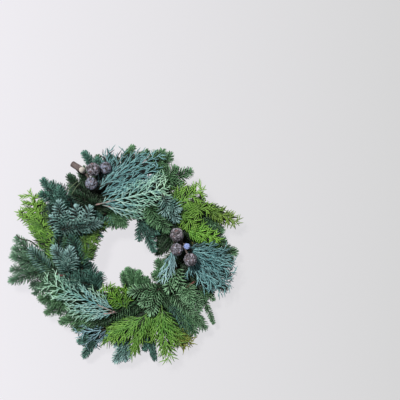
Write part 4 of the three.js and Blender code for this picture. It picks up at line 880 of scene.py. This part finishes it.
def fan_spray(name, slot_name, form, fronds, finishes, seed):
    """One cut tip: a stem and the fans that leave it at the heart, each with its painted light and in
    layers, the lower of them a little shorter and painted dark as shade. The ribs of the first two
    fans have bark at the foot."""
    rng = np.random.default_rng(seed)
    leaves, painted_lights_and_tones, wood = [], [], []
    for number, (heart, tip, half_width, arch, bow) in enumerate(fronds):
        for layer in range(form["layers"]):
            painted_light = form["shade"] if layer else FAN_PAINTED_LIGHT[number % len(FAN_PAINTED_LIGHT)]
            start, end = place(*heart), place(*tip)
            end = blend_to(start, end, 1 - LAYER_SHORTER * layer) - UP * LAYER_DROP * MM * layer
            wide = half_width * (1 - LAYER_NARROWER * layer)
            rib, twigs, fine = frond_cords(start, end, wide, arch, bow * (1 - layer), form, rng)
            for cords, rings in ((rib, 9), (twigs, 8), (fine, 4)):
                points, faces, painted_light_and_tone = cords.rods(rings, form, rng, painted_light)
                from_heart = np.linalg.norm(points - start, axis=1)
                painted_light_and_tone[:, 3] = np.clip(from_heart / np.linalg.norm(end - start), 0, 1)
                leaves.append((points, faces))
                painted_lights_and_tones.append(painted_light_and_tone)
            if layer == 0 and number < 2:
                share = np.array([form["bark"]])
                middle = blend_to(rib.start, rib.control, share)
                bark_end = curve_at(rib.start, rib.control, rib.end, share)
                thick = rib.thick * BARK_SWELL
                wood.append(Cords(rib.start, middle, bark_end, thick, thick).rods(5, form, rng)[:2])
    heart, tip = place(*fronds[0][0]), place(*fronds[0][1])
    wood.append(stem(heart, tip - heart))
    foliage(name + "_spray", slot_name, finishes, leaves, painted_lights_and_tones, wood, name)


# A form has the half widths of its rib, twigs and twiglets (thin) and of their ends (tip), what is
# left of that at the very point, from the shoulder on, and the depth over the width. Its twigs
# stand a twig_step apart, reach forwards and droop. Its twiglets stand a step apart, last being the
# length of the outermost over the first, and turn off by the angle. shade is the lower layers'
# painted light, dark as painted shade under the top layer, and bark the share of the rib that has bark.
CYPRESS_PALE = {
    "rib": 1.2 * MM, "twig": 1.0 * MM, "thin": 0.85 * MM, "tip": 0.75 * MM, "point": 0.35,
    "shoulder": 0.6, "depth": 0.9, "layers": 1, "twig_step": 9.5, "reach": 0.64, "droop": 4,
    "step": 6.8, "twiglet": 11.5, "last": 0.8, "angle": 26, "bend": 0.03, "flat": 0.1,
    "shade": 0.3, "bark": 0.3,
}
CYPRESS_BLUE = {**CYPRESS_PALE, "twig_step": 14, "reach": 0.6, "step": 9.2, "angle": 20, "twiglet": 14,
                "thin": 0.9 * MM, "layers": 2, "shade": 0.05, "bark": 0.1}
CYPRESS_TASSEL = {**CYPRESS_BLUE, "twig_step": 13, "reach": 0.8, "angle": 15, "step": 8.5, "twiglet": 14,
                  "layers": 1}

rosy_finish = Finish("pinkish young bark")
rosy_grain = rosy_finish.noise(350, 3)
rosy_colour = rosy_finish.ramp(rosy_grain, (0.35, "#5a7f7c"), (0.5, "#8a7c78"), (0.68, "#a5807f"))
rosy_material = rosy_finish.surface(Base_Color=rosy_colour, Roughness=0.7)

CYPRESS_FINISHES = {  # by slot, or by name for a spray of a shade of its own
    "cypress_blue": leaf_finish(
        "cypress steel blue", "#081211", "#4b8085", "#9ccacb", "#6e9c9e", "#6a9da0", 0.6),
    "cypress_pale": leaf_finish(
        "cypress pale mint", "#0b1c1b", "#649b9f", "#d0efe2", "#8fbcb4", "#a6d8b0", 0.6),
    "cypress_bottom": leaf_finish(
        "cypress misty blue", "#0d181d", "#4e7884", "#a0c4cf", "#789ea9", "#7aa3a9", 0.6),
    "cypress_right_inner": leaf_finish(
        "cypress tassel blue", "#0a1518", "#54858c", "#bddbe0", "#82a9b0", "#a6cbd3", 0.6),
}
CYPRESS_SPRAYS = [  # name, slot, form, then heart, tip, half width, arch and bow of each fan
    ("cypress_top_back", "cypress_blue", CYPRESS_BLUE, [
        ((-54, 133, 66), (82, 202, 56), 15, 8, -4), ((-54, 128, 62), (-31, 216, 50), 13, 6, 4),
        ((-52, 130, 64), (4, 213, 52), 13, 8, 3), ((-50, 130, 65), (42, 210, 54), 14, 8, 0),
        ((-46, 122, 64), (78, 178, 60), 13, 8, 0), ((-44, 118, 63), (62, 156, 60), 12, 8, 3)]),
    ("cypress_top_front", "cypress_pale", CYPRESS_PALE, [
        ((-50, 101, 70), (92, 135, 70), 27, 10, 0), ((-44, 99, 66), (58, 82, 62), 14, 8, 3),
        ((38, 126, 73), (95, 104, 62), 9, 8, -8), ((20, 128, 70), (84, 160, 64), 10, 8, 0)]),
    ("cypress_right", "cypress_blue", CYPRESS_BLUE, [
        ((128, 9, 68), (224, -42, 50), 15, 8, 0), ((128, 10, 66), (224, -17, 50), 14, 7, 0),
        ((126, 14, 64), (208, 10, 52), 13, 8, 0), ((128, 6, 66), (218, -67, 46), 14, 7, 0),
        ((126, 4, 65), (196, -82, 45), 14, 6, 0), ((124, 2, 64), (166, -74, 48), 13, 6, 3),
        ((130, -18, 64), (122, -50, 60), 9, 4, 0), ((128, 9, 60), (218, -29, 44), 13, 7, 2),
        ((128, 8, 60), (216, -55, 42), 13, 7, -2), ((126, 6, 60), (208, -78, 40), 12, 7, 2),
        ((126, 4, 60), (180, -79, 42), 12, 7, 0), ((126, 12, 60), (216, -4, 46), 12, 7, 0)]),
    ("cypress_right_inner", "cypress_blue", CYPRESS_TASSEL, [
        ((98, 22, 70), (71, -58, 71), 11, 7, -4), ((99, 12, 68), (88, -46, 70), 9, 6, -2)]),
    ("cypress_bottom_left", "cypress_pale", CYPRESS_PALE, [
        ((-24, -113, 66), (-168, -50, 58), 31, 10, 0), ((-22, -116, 64), (-118, -112, 52), 13, 8, -4),
        ((-24, -108, 66), (-70, -66, 58), 10, 6, 0)]),
    ("cypress_bottom", "cypress_blue", CYPRESS_BLUE, [
        ((-44, -151, 50), (-102, -157, 42), 14, 8, 0), ((-40, -146, 50), (-96, -138, 40), 10, 6, 0),
        ((-38, -152, 48), (-84, -182, 38), 12, 6, 0), ((-28, -152, 48), (-62, -186, 36), 9, 5, 0)]),
]
for number, (name, slot_name, form, fronds) in enumerate(CYPRESS_SPRAYS):
    bark = rosy_material if slot_name == "cypress_pale" else bark_material
    finish = CYPRESS_FINISHES.get(name, CYPRESS_FINISHES[slot_name])
    fan_spray(name, slot_name, form, fronds, [finish, bark], 300 + number)

# ---------------------------------------------------------------- green cedar
# Cut tips of green cedar: flat fronds of overlapping scale leaves, like pressed ferns, from deep
# green to yellow-green and olive, with paler pointed tips.
CEDAR = {
    "rib": 1.3 * MM, "twig": 1.15 * MM, "thin": 1.4 * MM, "tip": 1.0 * MM, "point": 0.3,
    "shoulder": 0.5, "depth": 0.45, "layers": 3, "twig_step": 8, "reach": 0.28, "droop": 2,
    "step": 3.6, "twiglet": 12.5, "last": 0.75, "angle": 29, "bend": 0.04, "flat": 0.06,
    "shade": 0.06, "bark": 0.05,
}
CEDAR_LONG = {**CEDAR, "step": 6.4, "angle": 20, "twiglet": 19, "reach": 0.62, "twig_step": 9,
              "thin": 1.0 * MM}
CEDAR_FEATHER = {**CEDAR, "step": 3.8, "angle": 25, "twiglet": 14, "thin": 1.15 * MM, "reach": 0.36}
CEDAR_FINISHES = {  # by slot, or by name for a spray of a shade of its own
    "cedar_green": leaf_finish("cedar green", "#081603", "#437720", "#8abb50", "#568232", "#80b042", 0.45),
    # cedar_dark is the cedar green in painted shade, for the cedar at the hole's left that lies under the
    # firs.
    "cedar_dark": leaf_finish(
        "cedar green in painted shade", "#050e02", "#22480f", "#568226", "#2f561c", "#5f8426", 0.45),
    "cedar_pale": leaf_finish(
        "cedar pale green", "#0a1d06", "#4b842d", "#90c05a", "#5c8a3a", "#6e9a34", 0.45),
    "cedar_bright": leaf_finish(
        "cedar bright green", "#0c2405", "#4e882a", "#8cc44e", "#608f34", "#80b43e", 0.42),
    "cedar_olive": leaf_finish("cedar olive", "#141f05", "#60852a", "#98ac4a", "#748634", "#7f742c", 0.45),
    "cedar_hole_bottom": leaf_finish(
        "cedar moss green", "#0a1e03", "#3e6e16", "#70a22e", "#4c7a1e", "#619424", 0.42),
    "cedar_right_tip": leaf_finish(
        "cedar mown green", "#0e1f06", "#4a6f22", "#88a848", "#5c7c30", "#74903a", 0.45),
}
rib_green = leaf_finish("cedar rib", "#1a3010", "#4c7032", "#708f48", "#5f8040", "#5f8040", 0.5)
CEDAR_SPRAYS = [  # name, slot, form, then heart, tip, half width, arch and bow of each fan
    ("cedar_left", "cedar_green", CEDAR, [
        ((-146, -1, 34), (-194, 131, 22), 27, 8, 0), ((-160, 50, 34), (-218, 86, 22), 7, 6, -4),
        ((-138, 6, 34), (-144, 96, 34), 17, 6, 0), ((-144, 2, 28), (-184, 104, 20), 20, 6, 0),
        ((-148, -14, 46), (-142, 44, 42), 13, 6, 3)]),
    ("cedar_hole_left", "cedar_dark", CEDAR, [
        ((-84, -14, 60), (-56, 40, 58), 13, 8, 0), ((-88, 6, 58), (-60, 58, 54), 11, 6, 0),
        ((-82, -20, 58), (-66, 16, 54), 9, 6, 0), ((-74, 36, 58), (-34, 62, 54), 7, 6, 0)]),
    ("cedar_upper_right", "cedar_green", CEDAR_FEATHER, [
        ((96, 95, 60), (160, 133, 56), 22, 8, 0), ((96, 95, 60), (146, 55, 58), 17, 8, 0),
        ((96, 92, 58), (120, 146, 50), 12, 6, 0), ((100, 90, 58), (176, 92, 52), 13, 6, 0)]),
    ("cedar_right_tip", "cedar_green", CEDAR_FEATHER, [((150, 99, 48), (230, 61, 38), 13, 8, 0)]),
    ("cedar_right_bright", "cedar_bright", CEDAR_FEATHER, [
        ((114, 53, 54), (192, 29, 46), 15, 8, 0), ((114, 53, 54), (168, 54, 46), 12, 6, 0)]),
    ("cedar_bottom_pale", "cedar_pale", CEDAR_LONG, [
        ((74, -107, 62), (88, -216, 42), 15, 8, 0), ((70, -107, 62), (58, -178, 44), 11, 8, 0),
        ((76, -110, 60), (112, -184, 42), 11, 6, 0)]),
    ("cedar_bottom_olive", "cedar_olive", CEDAR_LONG, [
        ((86, -141, 48), (124, -186, 36), 13, 8, 0), ((82, -136, 48), (136, -181, 34), 10, 6, 0)]),
    ("cedar_bottom_left", "cedar_pale", CEDAR_LONG, [
        ((44, -118, 60), (-30, -175, 46), 15, 8, 0), ((44, -118, 60), (12, -206, 38), 9, 8, 0),
        ((36, -124, 58), (-50, -160, 42), 8, 6, 4), ((54, -112, 60), (34, -178, 42), 13, 8, 0),
        ((0, -142, 56), (-48, -178, 40), 9, 5, 0)]),
    ("cedar_hole_bottom", "cedar_bright", CEDAR, [
        ((-2, -103, 58), (-44, -63, 56), 16, 8, 0), ((4, -108, 57), (-3, -62, 52), 13, 6, 2),
        ((-10, -104, 55), (-24, -64, 50), 12, 4, 0)]),
]
for number, (name, slot_name, form, fronds) in enumerate(CEDAR_SPRAYS):
    finish = CEDAR_FINISHES.get(name, CEDAR_FINISHES[slot_name])
    fan_spray(name, slot_name, form, fronds, [finish, rib_green], 400 + number)

# ---------------------------------------------------------------- cypress cones
# Round woody cones the size of a large marble: ten shield-shaped scales, each with a small point,
# meeting in sunk seams; purple-brown, dusted with a bluish bloom. One is a small unripe bud.
CONE_ROWS = 72
CONE_COLUMNS = 120
SCALE_COUNT = 10
CONES = [  # name, centre, radius, lean, blueness of the bloom
    ("cone_top_1", (-62, 170, 81), 14, 0.4, 0.3),
    ("cone_top_2", (-38, 173, 66), 12.5, 1.1, 1.0),
    ("cone_top_3", (-66, 142, 74), 13, 1.9, 0.9),
    ("cone_right_1", (104, 40, 84), 14, 2.4, 0.0),
    ("cone_right_2", (104, 11, 84), 12.8, 0.8, 0.4),
    ("cone_right_3", (131, -9, 84), 13.6, 1.5, 0.2),
    ("cone_right_bud", (124, 17, 86), 6.5, 0, 1.0),
]


def cone_finish(name, deep, body, bloom, blue, cover):
    """Woody scales: nearly black in the sunk seams, their own dark with painted shade there, and a
    bloom that lies in flecks on their swell, bluer on some cones; cover is how much of them it hides.
    The attribute 'leaf' holds the seams' dark and the painted shade of seams and wrinkle hollows,
    the points, a chance for each scale, and the blueness."""
    finish = Finish(name)
    reading = finish.node("Attribute", {"attribute_name": "leaf"})
    bluer = reading.also("Alpha")
    seam_dark_and_shade = finish.node("SeparateColor", {}, {0: reading})
    point, chance = seam_dark_and_shade.also(1), seam_dark_and_shade.also(2)
    cloud, fleck, grain = finish.noise(130, 3), finish.noise(420, 4), finish.noise(1500, 3)
    woody = finish.blend(paint(body), paint(deep), finish.clamped(seam_dark_and_shade + (0.5 - fleck) * 1.2))
    flecks = (fleck - 0.5) * 7 + (cloud - 0.5) * 5 + chance * 0.4 - 0.6 + cover + bluer * 0.3
    dust = finish.blend(paint(bloom), paint(blue), bluer)
    dusted = finish.blend(woody, dust, finish.clamped(flecks) * (1 - seam_dark_and_shade) * 0.85)
    colour = finish.blend(dusted, paint("#7a4a44"), point * 0.6)
    bump = finish.bumped(grain * 0.4 + fleck, 0.7, 0.001)
    return finish.surface(Base_Color=colour, Roughness=0.62 + cloud * 0.2, Normal=bump)


cone_material = cone_finish("cypress cone", "#0e0b0c", "#443e43", "#a8a4b0", "#8690a8", 0.5)
bud_material = cone_finish("unripe cypress cone", "#2f3c66", "#667bb4", "#a0b2e4", "#a0b2e4", 0.7)


def turned(points, lean):
    """The points turned by lean about X and then by 2.3 times lean about Z."""
    c, s = np.cos(lean), np.sin(lean)
    about_x = np.array([[1, 0, 0], [0, c, -s], [0, s, c]])
    c, s = np.cos(2.3 * lean), np.sin(2.3 * lean)
    about_z = np.array([[c, -s, 0], [s, c, 0], [0, 0, 1]])
    return points @ (about_z @ about_x).T


def ball(rows, columns):
    """Directions over a ball on a grid of latitude and longitude, and the grid's faces, with a
    many-cornered face over each pole."""
    latitude = np.linspace(-0.5, 0.5, rows)[:, None] * np.pi * 0.995
    longitude = np.linspace(0, 2 * np.pi, columns, endpoint=False)
    ways = np.stack([np.cos(latitude) * np.cos(longitude), np.cos(latitude) * np.sin(longitude),
                     np.sin(latitude) + 0 * longitude], -1).reshape(-1, 3)
    body = closed_grid(rows, columns)[:-columns][:, ::-1]
    caps = np.stack([np.arange(columns)[::-1], np.arange(columns) + (rows - 1) * columns])
    return ways, [body, caps]


index = np.arange(SCALE_COUNT)
scale_height = 1 - 2 * (index + 0.5) / SCALE_COUNT
scale_ring = np.sqrt(1 - scale_height ** 2)
scale_ways = np.stack([
    scale_ring * np.cos(index * GOLDEN_TURN), scale_ring * np.sin(index * GOLDEN_TURN), scale_height], -1)
ball_ways, ball_faces = ball(CONE_ROWS, CONE_COLUMNS)
for number, (name, centre, radius, lean, blueness) in enumerate(CONES):
    sway = np.stack([waves(ball_ways, 1.1, 50 + number + k) for k in (0, 20, 40)], -1)
    angles = np.arccos(np.clip(unit(ball_ways + 0.2 * sway) @ scale_ways.T, -1, 1))
    order = np.argsort(angles, axis=1)
    nearest, second = np.take_along_axis(angles, order[:, :2], 1).T
    seam = np.exp(-((second - nearest) / 0.13) ** 2)
    from_point = ball_ways - scale_ways[order[:, 0]]
    bearing = np.arctan2(from_point[:, 2], from_point[:, 0])
    wrinkle = np.sin(bearing * 7 + order[:, 0]) * np.clip(nearest / 0.4, 0, 1)
    point = np.exp(-(nearest / 0.11) ** 2)
    swell = 1 - (nearest / 0.62) ** 2
    rough = waves(ball_ways, 0.3, 90 + number) * 0.022
    size = radius * MM * (0.95 - 0.085 * seam + 0.05 * point + 0.03 * swell + 0.018 * wrinkle + rough)
    # The seams' own dark, with painted shade in the sunk seams and the wrinkles' hollows.
    dark = np.clip(0.8 * np.exp(-((second - nearest) / 0.14) ** 2) - 0.3 * wrinkle, 0, 1)
    painted_light_and_tone = np.stack([dark, point, (order[:, 0] * 0.37) % 1, blueness + 0 * seam], -1)
    points = place(*centre) + turned(ball_ways * size[:, None], lean)
    material = bud_material if name.endswith("bud") else cone_material
    piece = write_mesh(name + "_scales", points, ball_faces, [material], leaf=painted_light_and_tone)
    settle(piece, "bud" if name.endswith("bud") else "cone", name)

# ---------------------------------------------------------------- cone twigs
# The cones sit on short stalks on two bare twigs. The upper twig ends in a thick pruned branch,
# its grey bark ridged and its cut face pale, with rings round a dark pith.
TOP_TWIG = [(-58, 128, 21), (-61, 140, 46), (-76, 159, 58), (-93, 174, 60)]
RIGHT_TWIG = [(118, 40, 21), (116, 36, 42), (112, 26, 56), (114, 14, 60)]
TOP_JOINT = TOP_TWIG[2]
RIGHT_JOINT = RIGHT_TWIG[2]
CUT_CENTRE = (-84, 168.5, 69)
CUT_FACING = (0.35, -0.22, 0.9)


def twig_tube(corners, radii, sides, steps, ridge=0.0, seed=0, cut=None):
    """A bark-clad tube through the corners, swept by even steps, its radius ridged by waves; cut
    is the direction that its far end faces, with the end's rim sheared onto that plane."""
    corners = np.array([place(*corner) for corner in corners])
    radii = np.array(radii)[:, None] * MM
    fine = even_path(np.column_stack([corners, radii]), steps)
    for _ in range(3):
        fine[1:-1] = (fine[:-2] + 2 * fine[1:-1] + fine[2:]) / 4
    path, radius = fine[:, :3], fine[:, 3]
    along = unit(np.gradient(path, axis=0))
    side = unit(np.cross(along, UP + 0.05))
    over = np.cross(along, side)
    turn = np.linspace(0, 2 * np.pi, sides, endpoint=False)[None, :, None]
    ring = np.cos(turn) * side[:, None] + np.sin(turn) * over[:, None]
    bumps = waves((ring + path[:, None] * 60).reshape(-1, 3), 0.9, seed).reshape(ring.shape[:2])
    points = path[:, None] + ring * (radius[:, None] * (1 + ridge * bumps))[..., None]
    if cut is not None:
        facing = unit(np.array(cut))
        reach = ((points[-1] - path[-1]) @ facing) / (along[-1] @ facing)
        points[-1] -= along[-1] * reach[:, None]
        lean_back = np.linspace(0, 1, 6)[:, None, None] ** 2
        points[-7:-1] -= along[-1] * reach[None, :, None] * lean_back * 0.85
    body = closed_grid(steps, sides)[:-sides][:, ::-1]
    caps = np.stack([np.arange(sides)[::-1], np.arange(sides) + (steps - 1) * sides])
    return points.reshape(-1, 3), body, caps


stub_finish = Finish("ridged grey bark")
stub_grain = stub_finish.noise(420, 5)
stub_patch = stub_finish.noise(110, 3)
stub_colour = stub_finish.ramp(
    stub_grain * 0.6 + stub_patch * 0.4,
    (0.3, "#2c2524"), (0.5, "#574c4a"), (0.66, "#736868"), (0.8, "#8c8484"))
stub_bump = stub_finish.bumped(stub_grain, 0.9, 0.0012)
stub_material = stub_finish.surface(Base_Color=stub_colour, Roughness=0.88, Normal=stub_bump)

cut_finish = Finish("pale cut wood")
from_pith = cut_finish.node(
    "VectorMath", {"operation": "DISTANCE"}, {0: cut_finish.spot(), 1: tuple(place(*CUT_CENTRE))}, "Value")
rings = cut_finish.node(
    "Math", {"operation": "SINE"}, {0: from_pith * 5200 + cut_finish.noise(300, 2) * 5})
face_colour = cut_finish.blend(paint("#cfcbc4"), paint("#9d968c"), rings * 0.4 + 0.3)
face_colour = cut_finish.blend(face_colour, paint("#6d5644"), (1 - from_pith * 900) ** 3)
cut_material = cut_finish.surface(Base_Color=face_colour, Roughness=0.75)


def twig_piece(name, tubes, materials, choices=None):
    """Several tubes as one piece. choices number the materials of each tube's bark and of its far
    end, which are all the first one where none are given."""
    faces, choice, start = [], [], 0
    for (points, body, caps), (bark, far_end) in zip(tubes, choices or [(0, 0)] * len(tubes)):
        faces += [body + start, caps + start]
        choice += [bark] * (len(body) + 1) + [far_end]
        start += len(points)
    return write_mesh(name, np.concatenate([points for points, _, _ in tubes]), faces, materials, choice)


def stalks(joint, cones):
    """A stalk from the joint to just inside each cone."""
    tubes = []
    for _, centre, radius, *_ in cones:
        way = np.array(joint, float) - centre
        end = np.array(centre) + way / np.linalg.norm(way) * radius * 0.9
        tubes.append(twig_tube([joint, tuple(end)], [2.0, 1.5], 12, 8, 0.06, 7))
    return tubes


branch_corners = [(-105, 181, 56), (-94, 174.5, 62), CUT_CENTRE]
top_tubes = [twig_tube(TOP_TWIG, [2.6] * 4, 14, 24, 0.08, 3),
             twig_tube(branch_corners, [6.0, 6.3, 6.2], 40, 30, 0.06, 4, CUT_FACING),
             *stalks(TOP_JOINT, CONES[:3])]
pruned_branch = twig_piece(
    "pruned_branch", top_tubes, [stub_material, cut_material], [(0, 0), (0, 1), (0, 0), (0, 0), (0, 0)])
settle(pruned_branch, "bark", "cone_twig_top")

right_tubes = [twig_tube(RIGHT_TWIG, [2.6, 2.5, 2.3, 2.0], 14, 24, 0.08, 5),
               *stalks(RIGHT_JOINT, CONES[3:])]
right_cone_twig = twig_piece("right_cone_twig", right_tubes, [stub_material])
settle(right_cone_twig, "bark", "cone_twig_right")

# ---------------------------------------------------------------- bare twigs
# Thin twigs with nothing on them, caught among the sprays: two short red ones, a long brown one
# at the left edge, and two dry green ones as thin as stalks beside the upper cones.
red_finish = Finish("red dead twig")
red_colour = red_finish.blend(paint("#2e1513"), paint("#6c3432"), red_finish.noise(260, 3))
red_material = red_finish.surface(Base_Color=red_colour, Roughness=0.6)
dry_finish = Finish("dry green twig")
dry_colour = dry_finish.blend(paint("#4a5a3c"), paint("#7f9070"), dry_finish.noise(300, 3))
dry_material = dry_finish.surface(Base_Color=dry_colour, Roughness=0.6)

brown_corners = [(-174, 14, 42), (-190, 28, 44), (-208, 30, 44), (-219, 39, 38)]
bare_tubes = [
    twig_tube([(122, -66, 56), (131, -60, 60), (139, -54, 58)], [1.9, 2.3, 1.6], 12, 16, 0.1, 8),
    twig_tube([(-136, -38, 56), (-126, -42, 61), (-114, -40, 58)], [1.5, 2.1, 1.2], 12, 16, 0.15, 9),
    twig_tube(brown_corners, [1.5, 1.3, 1.2, 0.8], 20, 16, 0.2, 10)]
bare_twigs = twig_piece("bare_twigs", bare_tubes, [red_material, bark_material], [(0, 0), (0, 0), (1, 1)])
settle(bare_twigs, "bark")

dry_tubes = [
    twig_tube([(-116, 126, 60), (-105, 137, 66), (-92, 148, 66)], [0.7, 0.6, 0.35], 8, 12),
    twig_tube([(-106, 120, 60), (-98, 134, 66), (-88, 144, 64)], [0.6, 0.5, 0.35], 8, 12)]
settle(twig_piece("dry_twigs", dry_tubes, [dry_material]), "bark")
